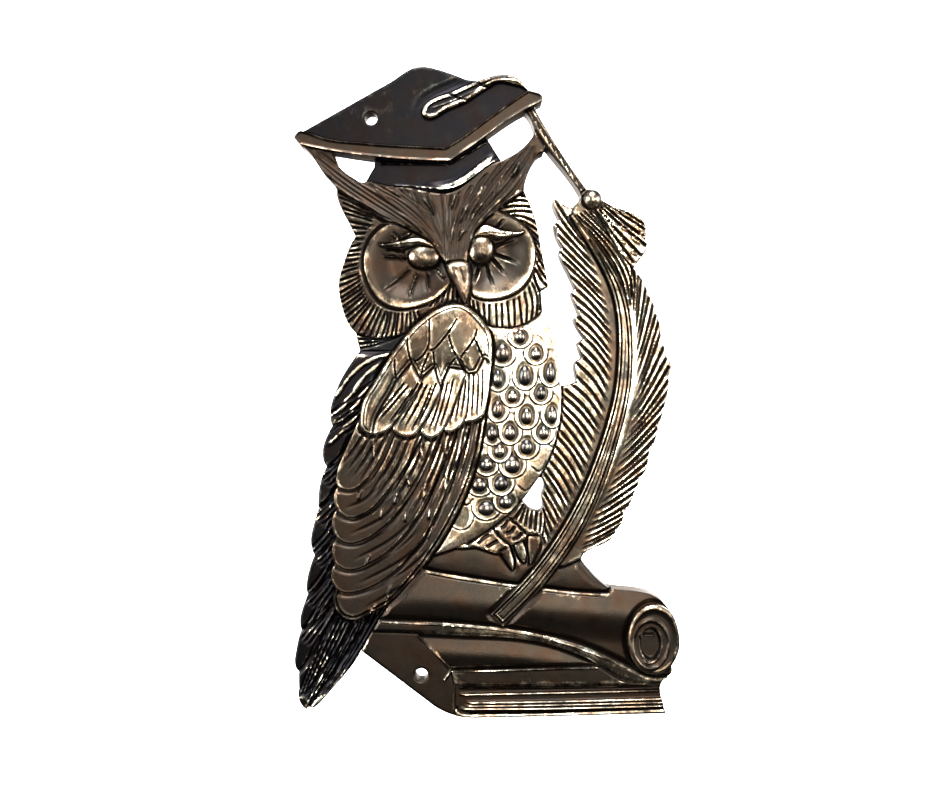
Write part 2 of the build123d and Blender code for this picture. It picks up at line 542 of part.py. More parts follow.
# polished bosses on the breast: x, z, half width and half height
breast_bosses = [
    (10.6, 17, 1.9, 2.4),
    (5.2, 12, 2.3, 3.1),
    (15.4, 11.8, 1.8, 2.3),
    (3.8, 4.2, 1.7, 2.9),
    (12, 5, 2, 3.3),
    (19.9, 6, 1.7, 3.3),
    (8.2, -1.3, 1.8, 2.2),
    (17, -0.3, 1.7, 2.3),
    (3.7, -5.2, 1.8, 2.9),
    (12.6, -7.4, 1.9, 2.8),
    (20.4, -7, 1.7, 2.9),
    (2, -12.6, 1.8, 2.6),
    (7.5, -12.4, 1.9, 2.6),
    (17.8, -12.4, 1.8, 2.4),
    (4.3, -18, 1.9, 2.4),
    (12.6, -16.8, 2.1, 2.6),
    (0.3, -22.2, 2.2, 2.3),
    (8.2, -22.2, 2.5, 2.9),
    (-1.9, -28.4, 2.3, 2.4),
    (4.8, -28, 2.3, 2.5),
    (0.2, -35.6, 2.6, 2.4),
    (6.2, -33.6, 2.2, 2.3),
]


def apart(one, other):
    """Whether two flat shapes' boxes lie clear of each other."""
    a = one.bounding_box()
    b = other.bounding_box()
    return a.max.X < b.min.X or b.max.X < a.min.X or a.max.Y < b.min.Y or b.max.Y < a.min.Y


def patches(shape):
    """The faces of a flat shape that are large enough to make."""
    return [face for face in shape.faces() if face.area > smallest_patch]


def shown_patches():
    """For each piece, what shows of it: its shape without the openings and the pieces in front."""
    panel = plaque_outline
    for opening in openings:
        panel = panel - opening
    in_front = []
    shown = {}
    for name, shape, height in pieces:
        patch = panel & shape
        for front in in_front:
            if not apart(patch, front):
                patch = patch - front
        in_front.append(shape)
        shown[name] = patches(patch)
    return panel, shown


def raised(faces, start, height):
    """Flat faces placed a distance in front of the back face and thickened towards the front."""
    solids = []
    for face in faces:
        placed = Plane.XZ.offset(start) * face
        solids.extend(extrude(placed, amount=height, dir=(0, -1, 0)).solids())
    return solids


def rods(places, radius, start, length):
    """Round rods along Y that begin a distance in front of the back face."""
    faces = [(Location(at(place)) * Circle(radius)).face() for place in places]
    return raised(faces, start, length)


def half_ellipsoid(centre, half_width, half_height, turn, rise, seat):
    """A round form that stands its rise in front of a seat, turned as its flat ellipse is."""
    width_scale = overall_width / grid_width
    height_scale = overall_height / grid_height
    x, z = at(centre)
    form = scale(Sphere(1), by=(half_width * width_scale, rise, half_height * height_scale))
    return Location((x, -seat, z), (0, -turn, 0)) * form


def domes(forms, faces, seat, rise):
    """The parts of round forms in front of a seat, kept within the flat faces that they stand on."""
    columns = raised(faces, seat, rise)
    solids = []
    for form in forms:
        for column in columns:
            if not apart(form, column):
                solids.extend((form & column).solids())
    return solids


def joined(solids, more):
    """Solids with further solids melted into them."""
    return list((Part() + solids + more).solids())


def cut(solids, tools):
    """Solids with holes cut in them."""
    return list((Part() + solids - tools).solids())


panel, shown = shown_patches()
seat = plate_thickness
through = plate_thickness + cap_edge_height + book_lip_height
screw_holes = rods([upper_screw_hole, lower_screw_hole], screw_hole_radius, -plate_thickness, 3 * through)

nodes = {}
for name, shape, height in pieces:
    solids = raised(shown[name], seat, height)
    pegs = rods(peg_places.get(name, []), peg_radius, seat - peg_length, peg_length)
    nodes[name] = joined(solids, pegs) if pegs else solids

# eyes and bead have round fronts
round_fronts = [
    ("eye_left", eye_left_centre, eye_left_half_sizes, 0, eye_base_height, eye_rise),
    ("eye_right", eye_right_centre, eye_right_half_sizes, eye_right_turn, eye_base_height, eye_rise),
    ("tassel_bead", bead_centre, (bead_radius, bead_radius), 0, tassel_bead_height, bead_rise),
]
for name, centre, half_sizes, turn, base, rise in round_fronts:
    form = half_ellipsoid(centre, *half_sizes, turn, rise, seat + base)
    nodes[name] = joined(nodes[name], domes([form], shown[name], seat + base, rise))

# bosses stand on the breast
boss_seat = seat + breast_height
boss_forms = [half_ellipsoid((x, z), wide, high, 0, boss_rise, boss_seat) for x, z, wide, high in breast_bosses]
nodes["breast_bosses"] = domes(boss_forms, shown["breast"], boss_seat, boss_rise)

# the rolled end of the scroll is hollow
hollow_start = seat + scroll_roll_height - roll_hollow_depth
hollow = raised([ellipse(*roll_hollow).face()], hollow_start, 2 * roll_hollow_depth)
nodes["scroll_roll"] = cut(nodes["scroll_roll"], hollow)

for name in ("cap_board", "book_corner"):
    nodes[name] = cut(nodes[name], screw_holes)

# the back plate, with a socket for each peg
sockets = []
for places in peg_places.values():
    start = plate_thickness - peg_length - peg_end_clearance
    sockets += rods(places, peg_radius + peg_side_clearance, start, plate_thickness)
nodes["back_plate"] = cut(raised(patches(panel), 0, plate_thickness), sockets + screw_holes)

os.makedirs("parts", exist_ok=True)
for name, solids in nodes.items():
    part = solids[0] if len(solids) == 1 else Compound(children=solids)
    part.label = name
    export_step(part, os.path.join("parts", name + ".step"))
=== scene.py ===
import math
import bpy
import numpy as np
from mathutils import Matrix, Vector
from mathutils.geometry import delaunay_2d_cdt


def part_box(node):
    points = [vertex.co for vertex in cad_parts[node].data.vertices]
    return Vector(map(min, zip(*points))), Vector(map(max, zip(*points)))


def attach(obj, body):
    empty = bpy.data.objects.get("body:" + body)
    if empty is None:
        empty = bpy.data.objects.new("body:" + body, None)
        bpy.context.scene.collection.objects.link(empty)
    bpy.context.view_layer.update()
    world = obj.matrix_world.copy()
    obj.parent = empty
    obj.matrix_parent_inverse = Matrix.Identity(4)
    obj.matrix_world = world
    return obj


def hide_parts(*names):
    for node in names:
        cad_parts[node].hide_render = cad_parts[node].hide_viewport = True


# An owl in a scholar's cap with a quill, a scroll and a book, cast as a flat-backed wall plaque.
# Places and sizes are in millimetres: x to the right, z up, and heights out from the wall.

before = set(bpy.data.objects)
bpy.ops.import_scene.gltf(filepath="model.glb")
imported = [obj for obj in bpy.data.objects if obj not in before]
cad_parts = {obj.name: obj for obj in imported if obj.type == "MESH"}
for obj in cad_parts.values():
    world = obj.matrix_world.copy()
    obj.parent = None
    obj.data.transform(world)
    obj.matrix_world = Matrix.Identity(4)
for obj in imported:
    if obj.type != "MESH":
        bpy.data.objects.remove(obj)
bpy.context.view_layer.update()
print("frame loaded:", len(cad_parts), "nodes")

metre = 0.001  # one millimetre in scene units

surface = {
    "pitch": 0.28,  # between the points of a sculpted face
    "cornerTurn": 24,  # degrees, an outline's sharper turns stay corners
    "sameEdge": 0.17,  # outlines nearer than this are one edge
    "edgeRows": (0.14, 0.32, 0.56, 0.84),  # rows of points that follow an outline, so that its rim is crisp
}
plateFront = -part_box("back_plate")[0].y / metre

# what lies in front of what, from the front to the back
frontToBack = [
    "tassel_bead", "cap_cord_loop", "cap_edge", "cap_board", "tassel_cord", "cap_crown", "tassel_fringe",
    "beak", "brow_left", "brow_right", "eyelids", "eye_left", "eye_right", "face_disc_left",
    "face_disc_right",
    "wing_shoulder", *[f"wing_covert_{n}" for n in range(1, 6)],
    *[f"wing_primary_{n}" for n in range(1, 7)],
    "cheek_feathers_right", "ruff_right", "ruff_left", "neck_feathers",
    *[f"back_feather_{n}" for n in range(1, 8)], *[f"tail_feather_{n}" for n in range(1, 4)],
    "breast", "claws", "toes", "leg", "quill_shaft", "quill_vane_inner", "quill_vane_outer",
    "scroll_roll", "scroll_edge", "scroll_sheet", "ground",
    "book_lower_cover", "book_pages", "book_cover_lip", "book_cover", "book_corner",
]


def nodePlaces(node):
    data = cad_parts[node].data
    flat = np.empty(len(data.vertices) * 3)
    data.vertices.foreach_get("co", flat)
    return flat.reshape(-1, 3) / metre


def nodeHeight(node):
    return -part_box(node)[0].y / metre


def loopArea(loop):
    x, z = loop[:, 0], loop[:, 1]
    return 0.5 * float(np.sum(x * np.roll(z, -1) - z * np.roll(x, -1)))


def faceLoops(node, height):
    # closed outlines of the node's flat face at this height, outer ones anticlockwise
    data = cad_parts[node].data
    data.calc_loop_triangles()
    corners = np.empty(len(data.loop_triangles) * 3, np.int32)
    data.loop_triangles.foreach_get("vertices", corners)
    spots, same = np.unique(np.round(nodePlaces(node), 4), axis=0, return_inverse=True)
    corners = same.ravel()[corners].reshape(-1, 3)
    level = np.abs(spots[:, 1] + height) < 0.01
    corners = corners[level[corners].all(1)]
    sides = {(int(a), int(b)) for t in corners for a, b in ((t[0], t[1]), (t[1], t[2]), (t[2], t[0]))}
    follow = {}
    for a, b in sides:
        if (b, a) not in sides:
            follow.setdefault(a, []).append(b)
    loops = []
    while follow:
        start = min(follow)
        run = [start]
        while True:
            here = run[-1]
            nextSpot = follow[here].pop()
            if not follow[here]:
                del follow[here]
            if nextSpot == start:
                break
            run.append(nextSpot)
        loops.append(spots[run][:, [0, 2]])
    loops.sort(key=lambda loop: -abs(loopArea(loop)))
    if loopArea(loops[0]) < 0:
        loops = [loop[::-1] for loop in loops]
    return loops


def crossings(loops, z):
    # where a level line cuts the loops
    found = []
    for loop in loops:
        after = np.roll(loop, -1, 0)
        cut = (loop[:, 1] <= z) != (after[:, 1] <= z)
        a, b = loop[cut], after[cut]
        found.append(a[:, 0] + (z - a[:, 1]) * (b[:, 0] - a[:, 0]) / (b[:, 1] - a[:, 1]))
    return np.sort(np.concatenate(found))


def isInside(place, loops):
    return np.searchsorted(crossings(loops, place[1]), place[0]) % 2 == 1


def areInside(points, loops):
    # the same for many points at once
    a = np.concatenate(loops)
    b = np.concatenate([np.roll(loop, -1, 0) for loop in loops])
    run = (b[:, 0] - a[:, 0]) / np.where(b[:, 1] == a[:, 1], 1, b[:, 1] - a[:, 1])
    found = np.zeros(len(points), bool)
    for start in range(0, len(points), 2000):
        x, z = points[start:start + 2000].T[:, :, None]
        cut = (a[:, 1] <= z) != (b[:, 1] <= z)
        found[start:start + 2000] = (cut & (x > a[:, 0] + (z - a[:, 1]) * run)).sum(1) % 2 == 1
    return found


def evenLoop(loop, step):
    # the same outline with even spacing between its corners
    before, after = np.roll(loop, 1, 0), np.roll(loop, -1, 0)
    inward, outward = loop - before, after - loop
    turn = np.abs(np.degrees(np.arctan2(inward[:, 0] * outward[:, 1] - inward[:, 1] * outward[:, 0],
                                        (inward * outward).sum(1))))
    corners = list(np.nonzero(turn > surface["cornerTurn"])[0]) or [0]
    places = []
    for here, there in zip(corners, corners[1:] + [corners[0] + len(loop)]):
        run = loop[np.arange(here, there + 1) % len(loop)]
        along = np.concatenate([[0], np.cumsum(np.linalg.norm(np.diff(run, axis=0), axis=1))])
        count = max(1, int(round(along[-1] / step)))
        at = np.linspace(0, along[-1], count + 1)[:-1]
        places.append(np.c_[np.interp(at, along, run[:, 0]), np.interp(at, along, run[:, 1])])
    return np.concatenate(places)


def islandsOf(node, height, pitch, solid=False):
    # one list of even loops for each separate face: its outline first, then its holes
    loops = [loop for loop in faceLoops(node, height) if abs(loopArea(loop)) > 0.3]
    outers = [loop for loop in loops if loopArea(loop) > 0]
    holes = [loop for loop in loops if loopArea(loop) < 0]
    islands = []
    for outer in outers:
        own = [] if solid else [hole for hole in holes if isInside(hole[0], [outer])]
        islands.append([evenLoop(loop, pitch) for loop in [outer, *own]])
    return islands


def distances(points, places):
    # from each point to the nearest of the places
    nearest = np.full(len(points), 99.0)
    if len(places) == 0:
        return nearest
    middle = places.mean(0)
    points, places = points - middle, places - middle
    size = (places ** 2).sum(1)
    for start in range(0, len(points), 4000):
        part = points[start:start + 4000]
        square = (part ** 2).sum(1)[:, None] + size[None] - 2 * part @ places.T
        nearest[start:start + 4000] = np.sqrt(np.maximum(square.min(1), 0))
    return nearest


def latticeInside(loops, pitch):
    # even points inside the loops, in staggered rows
    outer = loops[0]
    rows = []
    rise = pitch * math.sqrt(3) / 2
    low, high = outer.min(0), outer.max(0)
    for row in range(int(math.ceil(low[1] / rise)), int(high[1] / rise) + 1):
        z = row * rise + 1e-5
        first = math.floor(low[0] / pitch) * pitch + (row % 2) * pitch / 2
        x = np.arange(first, high[0], pitch)
        keep = np.searchsorted(crossings(loops, z), x) % 2 == 1
        rows.append(np.c_[x[keep], np.full(keep.sum(), z)])
    return np.concatenate(rows) if rows else np.zeros((0, 2))


def rowsInside(loops):
    # points that follow the outlines a little way in
    rim = np.concatenate([finer(loop) for loop in loops])
    rows = []
    for loop in loops:
        along = np.roll(loop, -1, 0) - np.roll(loop, 1, 0)
        inward = np.c_[-along[:, 1], along[:, 0]] / np.maximum(np.linalg.norm(along, axis=1), 1e-6)[:, None]
        for gap in surface["edgeRows"]:
            row = loop + inward * gap
            row = row[distances(row, rim) > 0.93 * gap]
            rows.append(row[areInside(row, loops)])
    return np.concatenate(rows)


def guidePoints(lines, offsets, loops, pitch):
    # points that follow the strokes, so that narrow ridges stay even
    found = [np.zeros((0, 2))]
    for line in lines:
        line = smoothLine(line)
        along = np.concatenate([[0], np.cumsum(np.linalg.norm(np.diff(line, axis=0), axis=1))])
        at = np.arange(0, along[-1], pitch)
        spots = np.c_[np.interp(at, along, line[:, 0]), np.interp(at, along, line[:, 1])]
        run = np.gradient(spots, axis=0)
        side = np.c_[-run[:, 1], run[:, 0]] / np.linalg.norm(run, axis=1)[:, None]
        found += [spots + side * offset for offset in offsets]
    found = np.concatenate(found)
    rim = np.concatenate([finer(loop) for loop in loops])
    return found[areInside(found, loops) & (distances(found, rim) > surface["edgeRows"][-1] + 0.5 * pitch)]


def finer(loop):
    # the loop's points with their midpoints
    return np.concatenate([loop, (loop + np.roll(loop, -1, 0)) / 2])


def smoothLine(line, rounds=3):
    # rounds a hand-set line's corners and keeps its ends
    line = np.array(line, float)
    if len(line) < 3:
        return line
    for _ in range(rounds):
        a, b = line[:-1], line[1:]
        cut = np.stack([0.75 * a + 0.25 * b, 0.25 * a + 0.75 * b], 1).reshape(-1, 2)
        line = np.concatenate([line[:1], cut[1:-1], line[-1:]])
    return line


def alongLine(points, line):
    # distance to the line, and the share of its length at the nearest place
    a, b = line[:-1], line[1:]
    run = b - a
    length = np.maximum((run ** 2).sum(1), 1e-9)
    offset = points[:, None] - a[None]
    share = np.clip((offset * run[None]).sum(2) / length[None], 0, 1)
    gap = np.linalg.norm(offset - share[..., None] * run[None], axis=2)
    best = gap.argmin(1)
    rows = np.arange(len(points))
    lengths = np.sqrt(length)
    before = np.concatenate([[0], np.cumsum(lengths)[:-1]])
    return gap[rows, best], (before[best] + share[rows, best] * lengths[best]) / lengths.sum()


def softStep(value):
    value = np.clip(value, 0, 1)
    return value * value * (3 - 2 * value)


def fan(keys, count, stray=0.0):
    # lines spread evenly through a few key lines that have the same number of places; stray is how far
    # a hand-cut line wanders, in millimetres
    keys = np.array(keys, float)
    wander = np.random.default_rng(count)
    found = []
    for at in np.linspace(0, len(keys) - 1, count):
        low = min(int(at), len(keys) - 2)
        line = keys[low] + (keys[low + 1] - keys[low]) * (at - low)
        found.append(line + wander.uniform(-stray, stray, line.shape))
    return found


def edged(lines, width, depth, taper=(0.06, 0.06)):
    # a cut line with a low burr along both sides
    return [(lines, 2.4 * width, 0.3 * depth, taper), (lines, width, -1.3 * depth, taper)]


def hatch(start, angle, length, step, count, bend=0.0):
    # parallel lines at an angle, each a step to the right of the last
    run = np.array([math.cos(math.radians(angle)), math.sin(math.radians(angle))]) * length
    side = np.array([run[1], -run[0]]) / length
    first = np.array(start, float)
    return [[first + side * step * n, first + side * (step * n + bend) + run / 2,
             first + side * step * n + run]
            for n in range(count)]


def strokeShare(points, lines, width, taper=(0.2, 0.2)):
    # 1 along the lines, falling to 0 at the width to each side and towards their ends
    share = np.zeros(len(points))
    for line in lines:
        line = smoothLine(line)
        near = np.nonzero(((points > line.min(0) - width) & (points < line.max(0) + width)).all(1))[0]
        if len(near) == 0:
            continue
        gap, along = alongLine(points[near], line)
        body = softStep(np.clip(1 - gap / width, 0, 1))
        start, end = taper
        body *= softStep(along / start) if start else 1
        body *= softStep((1 - along) / end) if end else 1
        share[near] = np.maximum(share[near], body)
    return share


# each piece: rim is the width and drop of its own rounded edges, sink the width and depth of the
# valley where it comes out from under a piece, then the strokes: lines, half width, height
sculpted = {}


# each piece's tone shift moves its colour lighter or darker: partly how far it was rubbed, partly painted
# light and shade; the highlight lines lay painted highlight bands: lines, half width, how much
def sculpt(node, rim=(0.7, 0.5), sink=(0.9, 0.5), lip=None, dish=None, dome=None, contours=(), strokes=(),
           shape=None, finish="antique", solid=False, height=None, rub=0.0, pitch=None, guides=((), ()),
           paintedHighlight=()):
    sculpted[node] = {"rub": rub, "paintedHighlight": paintedHighlight, "guides": guides, "pitch": pitch or surface["pitch"],
                      "rim": rim, "sink": sink, "lip": lip, "dish": dish, "dome": dome,
                      "contours": contours,
                      "strokes": strokes, "shape": shape, "finish": finish, "solid": solid,
                      "height": height}


# cap: a smooth dark board with two polished lips along its front edges
capRim = [[(-33, 70.1), (-20, 70), (-10.9, 69.8)], [(-10.9, 69.8), (-5.4, 73.2), (0.4, 76.8)]]
sculpt("cap_board", rim=(0.7, 0.4), sink=(0.6, 0.3), finish="patina", strokes=[
    ([[(-22, 84.5), (-19, 90.4), (-10, 94.2), (-3, 97.6)]], 2.6, -0.7, (0.3, 0.3)),
])
sculpt("cap_edge", rim=(0.3, 0.2), sink=(0.5, 0.2), lip=(0.2, 0.5, 0.6), finish="antique", rub=-0.36,
       pitch=0.2)
sculpt("cap_crown", rim=(0.5, 0.4), sink=(1.2, 0.6), finish="patina", rub=0.04, strokes=[
    (capRim, 0.45, 0.45, (0.05, 0.05)),
    ([[(-20, 62.9), (-11, 62.6), (-5, 66.2), (0, 70.2), (4, 73)]], 2.4, 1.3, (0.35, 0.15)),
    ([[(-30, 63.8), (-20, 63), (-11, 62), (-5, 65), (0, 69.2), (4.6, 72)]], 0.4, 0.35, (0.1, 0.05)),
])
sculpt("cap_cord_loop", rim=(0.9, 1.0), lip=(0.9, 0.8, 0.5), finish="patina", rub=-0.06, pitch=0.2,
       strokes=[
    ([[(-11.6, 91.6), (-8.6, 90), (-5.2, 89.4)], [(-2.8, 94.9), (-0.8, 93.6), (1.4, 93.2)]], 0.5, -0.5,
     (0.1, 0.2)),
    ([[(-18, 86.5), (-12, 88.4), (-5, 91.6), (2, 95.4), (9, 95.8), (12.6, 94)]], 0.5, 0.3, (0.1, 0.1)),
])

# tassel: a twisted cord, a round bead and a fringe of eight locks
cordTwist = [[(x - 1.6, z + 2.6), (x + 0.2, z + 0.4), (x + 1.4, z - 2.8)]
             for x, z in [(14 + 1.55 * n, 85.6 - 2.3 * n) for n in range(11)]]
fringeLocks = fan([[(34.6, 60.8), (41, 57.6), (49, 53.4)], [(35.4, 59), (42, 54.6), (50, 49)],
                   [(35.2, 57.4), (41, 51.4), (50, 44.4)], [(34, 56), (38.4, 49.6), (46, 39)]], 7, 0.2)
fringeTufts = [[(x, z), (x - 2.2, z - 0.3), (x + 1, z - 1.9)]
               for x, z in [(43.6, 55.4), (47, 51.6), (43.2, 51.2), (46.8, 47.6), (42.6, 47.4), (46, 43.8),
                            (39.8, 52.4), (40, 56.8),
                            (48.6, 55.2), (49, 48.8), (38.6, 48.8), (41.4, 43.8), (37.2, 54.6)]]
sculpt("tassel_cord", rim=(1.3, 1.1), rub=-0.12, pitch=0.2, strokes=[(cordTwist, 0.5, -0.45, (0.1, 0.1))])
sculpt("tassel_fringe", rim=(0.9, 0.9), strokes=[
    (fringeLocks, 0.7, -1.0, (0.05, 0.05)),
    (fringeTufts, 0.55, 0.9, (0.2, 0.2)),
])

# brows and ears: long strands gathered above the beak
leftStrands = fan([
    [(-46, 61.4), (-38, 57.4), (-30, 52.8), (-22, 49.6), (-16, 45.4), (-12.5, 40.8)],
    [(-52, 70.5), (-44, 63.5), (-34, 57), (-25, 51.8), (-17.5, 46.8), (-12.6, 41.4)],
    [(-54, 74), (-44, 66), (-35, 60.2), (-26, 54), (-18, 48), (-12.6, 42)],
    [(-52, 74.6), (-41, 66), (-32, 61), (-24, 56), (-17.5, 50), (-12.6, 43)],
    [(-36, 64.6), (-28.6, 60.5), (-23, 57.5), (-19, 53.5), (-15.5, 49), (-12.6, 44)],
    [(-30, 63.8), (-24.5, 60), (-21, 57), (-18, 53), (-15, 48.5), (-12.5, 45)],
    [(-24.6, 62.6), (-21.5, 59), (-18.5, 56.5), (-16.3, 53), (-14.2, 49.5), (-12.4, 46)],
    [(-18, 61.8), (-16.5, 58), (-15.4, 55), (-14.4, 52), (-13.4, 49.5), (-12.3, 47)],
], 13, 0.35)
rightStrands = fan([
    [(-6.2, 41), (-4.6, 47.5), (-1.5, 52), (3, 56.2), (8, 60.5), (11.5, 66), (15.5, 74)],
    [(-6.8, 41), (-5.5, 47.8), (-3, 53), (1, 57.8), (5.5, 63), (9.5, 69), (15.5, 77)],
    [(-7.4, 41), (-6.6, 48), (-4.6, 54), (-1.5, 59), (2.2, 64), (5.5, 68.5), (9.4, 73)],
    [(-8, 41), (-7.8, 48), (-6.6, 54), (-4.4, 59), (-1.8, 63), (0.6, 66.3), (3.4, 69.8)],
    [(-8.8, 41), (-9, 47), (-8.6, 52), (-7.6, 56), (-6.3, 59), (-5.2, 61.4), (-4.2, 63.6)],
    [(-9.8, 41), (-10.2, 47), (-10.5, 52), (-10.4, 55), (-10, 58), (-9.6, 60), (-9.4, 61)],
    [(-11, 41), (-11.6, 46), (-12, 50), (-12.4, 53), (-12.6, 56), (-12.8, 58), (-13, 61)],
], 10, 0.4)
rightLocks = [
    [(-10.6, 45), (-10.2, 50), (-9, 54.4)], [(-7.8, 51.4), (-6.8, 55), (-5, 58)],
    [(-10.9, 55.4), (-10.2, 58.4), (-9, 60.8)], [(-8.4, 46), (-7.6, 48.4), (-6, 50.6)],
    [(-4.6, 53), (-2.8, 56), (-0.6, 58.4)], [(-2.8, 59.6), (-1.6, 61.8), (-0.2, 63.4)],
    [(2.2, 59.8), (3.6, 62.6), (5.4, 65.4)], [(7.8, 65.6), (9.2, 68), (10.4, 70.4)],
]
leftLocks = [
    [(-23.6, 61.2), (-21.6, 58.6), (-20.2, 56.4)], [(-19.6, 59.8), (-17.2, 57.4), (-15.8, 53.4)],
    [(-34.6, 62.8), (-31.4, 60.4), (-29, 59)], [(-29.6, 62.4), (-27.4, 60.8), (-25.6, 60)],
    [(-40, 60), (-34, 55.8), (-28, 52.6)], [(-27, 55.6), (-22.6, 52.4), (-18.6, 48.8)],
]
sculpt("brow_left", rim=(0.9, 0.6), sink=(0.5, 0.3), rub=-0.4, strokes=[
    (leftStrands, 0.9, -0.6, (0.06, 0.12)),
    (leftLocks, 0.7, 0.55, (0.3, 0.3)),
    ([[(-37, 56), (-30, 52.4), (-24, 50.2), (-17.6, 46), (-13.6, 41.6)]], 0.8, 0.5, (0.2, 0.1)),
])
sculpt("brow_right", rim=(0.9, 0.6), sink=(0.5, 0.3), rub=-0.36, strokes=[
    (rightStrands, 0.8, -0.55, (0.1, 0.06)),
    (rightLocks, 0.75, 1.0, (0.35, 0.35)),
    ([[(-5.2, 42), (-4, 47), (-1.4, 51.4), (2.4, 55), (7, 58.8), (11.4, 62)]], 1.0, 0.9, (0.1, 0.1)),
])
sculpt("beak", rim=(2.4, 2.4), rub=-0.32, strokes=[([[(-8.6, 39.4), (-8, 34), (-6.6, 28.4)]], 1.4, 0.6,
                                                    (0.3, 0.2))])

# eyes: glossy domes in dished discs, with rays cut round them
eyelidEdge = [[(-31.6, 45.3), (-26, 45.7), (-21, 46.4), (-17, 45.4)],
              [(-3, 48), (0.4, 49.6), (5, 48.8), (10.6, 48.8)]]
sculpt("eyelids", rim=(0.8, 0.7), rub=-0.2, strokes=[(eyelidEdge, 0.5, 0.3, (0.2, 0.2))])
leftRays = [
    [(-23.9, 41.2), (-28, 41.9), (-32.6, 41.6)], [(-23.2, 38.4), (-27, 35), (-31.8, 31.2)],
    [(-21, 37.2), (-22.6, 33), (-23.8, 28.6)], [(-18.3, 37.2), (-18, 33.8), (-17.6, 30.6)],
    [(-15.6, 38.2), (-13.8, 36.2), (-12, 34.2)], [(-24.4, 43.4), (-28, 43.9), (-31.6, 44)],
    [(-29, 48.6), (-26.3, 46.9), (-29.6, 45.9)], [(-25.6, 47.4), (-23.9, 48.6), (-22.4, 49.4)],
]
rightRays = [
    [(3, 45), (6.5, 46.6), (10.4, 47.4)], [(2.8, 42.6), (7, 41.2), (11, 39)],
    [(2.2, 41), (4.5, 38.5), (6.8, 35.6)], [(0.4, 39.2), (1.2, 36), (2.6, 32.2)],
    [(-2.2, 38.6), (-2.7, 36), (-4.2, 32.4)], [(3, 50), (4.6, 52), (6, 53.4)],
]
# painted highlight along the lower edge of each disc, where the dish turns up towards the light
discHighlightLines = [[(-33, 32), (-27, 27), (-20, 26.2), (-14, 28.6), (-10.6, 32)],
            [(-5, 31.4), (0, 29.6), (5, 29.8), (10, 32.4), (13.6, 37)]]
sculpt("face_disc_left", rim=(0.5, 0.4), sink=(0.9, 0.5), dish=(0.7, 8.5, 2.2), finish="antique", rub=-0.28,
       paintedHighlight=[(discHighlightLines, 2.6, 0.3)], strokes=[
    (leftRays, 1.3, -0.45, (0.1, 0.2)),
    (leftRays, 0.6, 1.4, (0.15, 0.35)),
])
sculpt("face_disc_right", rim=(0.5, 0.4), sink=(0.9, 0.5), dish=(0.7, 8.5, 2.2), finish="burnished",
       rub=-0.26,
       paintedHighlight=[(discHighlightLines, 2.6, 0.3)],
       strokes=edged(rightRays, 0.85, 1.0, (0.02, 0.6)))

# feathers round the face: short strands that point outwards
ruffLeft = fan([
    [(-33, 55.4), (-38, 57.2), (-45, 60)], [(-33.4, 52.6), (-38.5, 54), (-43.5, 55)],
    [(-36, 49.4), (-39.2, 49.8), (-42, 50)], [(-38, 45), (-40.6, 44.6), (-44, 44)],
    [(-38.6, 41), (-41.4, 40.4), (-45, 39.8)], [(-38.6, 37), (-41.8, 35.8), (-46, 34.2)],
    [(-38, 34), (-41.6, 31.6), (-46, 29)], [(-36.8, 31), (-40.4, 28), (-45, 24.6)],
    [(-35.2, 28.4), (-38.4, 24.8), (-42.4, 20.4)], [(-32.8, 26.2), (-35, 22.2), (-37.6, 17)],
    [(-30, 25), (-31, 21.2), (-32.4, 16.4)], [(-27.2, 24.4), (-27.6, 21), (-28.2, 16.8)],
    [(-24, 24.6), (-24, 21.6), (-24, 18.4)], [(-21, 25.4), (-20.2, 23.4), (-19.4, 21.6)],
], 37, 0.35)
chinTufts = fan([[(-15.5, 31), (-16.4, 28), (-17.4, 25.8)], [(-12.5, 33), (-13, 29.4), (-13.8, 26.8)],
                 [(-9.5, 33), (-9.8, 29.8), (-10.2, 27)], [(-6.5, 31), (-6.6, 28), (-6.8, 26)]], 7, 0.3)
ruffRight = fan([
    [(-5.6, 29), (-4.6, 25.5), (-4, 22)], [(-3, 28.2), (-2.2, 25), (-1.6, 21)],
    [(0.6, 27.6), (0.8, 24.6), (0.8, 20)], [(4, 27.6), (4.2, 24), (4.4, 19.2)],
    [(7.6, 28.4), (7.8, 24.6), (8.2, 19.4)], [(10.8, 30), (11.2, 26), (11.6, 20.4)],
    [(13.4, 33), (15, 28), (14.6, 22)], [(15, 36.5), (17, 32), (17, 25)],
], 14, 0.25)
cheekStrands = fan([
    [(9, 60.6), (12.2, 60.4), (14.4, 60)], [(4.5, 57.6), (9.5, 58), (15, 57.4)],
    [(6, 55), (10.5, 55.4), (15.8, 54.4)], [(9.4, 53.4), (12.6, 52.4), (16.6, 50)],
    [(12.6, 50.8), (14.6, 49), (17.4, 46)], [(14.8, 46.5), (15.8, 44), (18, 40.4)],
    [(15.4, 42), (16.6, 39), (19, 35.6)], [(15.2, 38), (16.8, 35), (19.4, 32)],
], 12, 0.3)
sculpt("ruff_left", rim=(0.6, 0.5), sink=(1.6, 1.0), rub=-0.26, strokes=[
    (ruffLeft, 0.55, -0.8, (0.15, 0.02)),
    (chinTufts, 0.6, -0.7, (0.2, 0.1)),
])
sculpt("ruff_right", rim=(0.6, 0.5), sink=(1.5, 1.0), finish="burnished", rub=-0.24, strokes=[
    (ruffRight, 0.6, -0.85, (0.15, 0.02)),
    (chinTufts, 0.6, -0.7, (0.2, 0.1)),
])
sculpt("cheek_feathers_right", rim=(0.6, 0.5), sink=(0.9, 0.7), finish="burnished", rub=-0.2, strokes=[
    (cheekStrands, 0.6, -0.85, (0.1, 0.02)),
])
sculpt("neck_feathers", rim=(0.5, 0.4), sink=(1.0, 0.6), finish="patina", strokes=[
    (fan([[(-40, 13.2), (-34, 14.4), (-26, 17.4)], [(-40, 18), (-34, 17), (-26, 18.6)]], 4), 0.6, -0.6,
     (0.1, 0.2)),
])

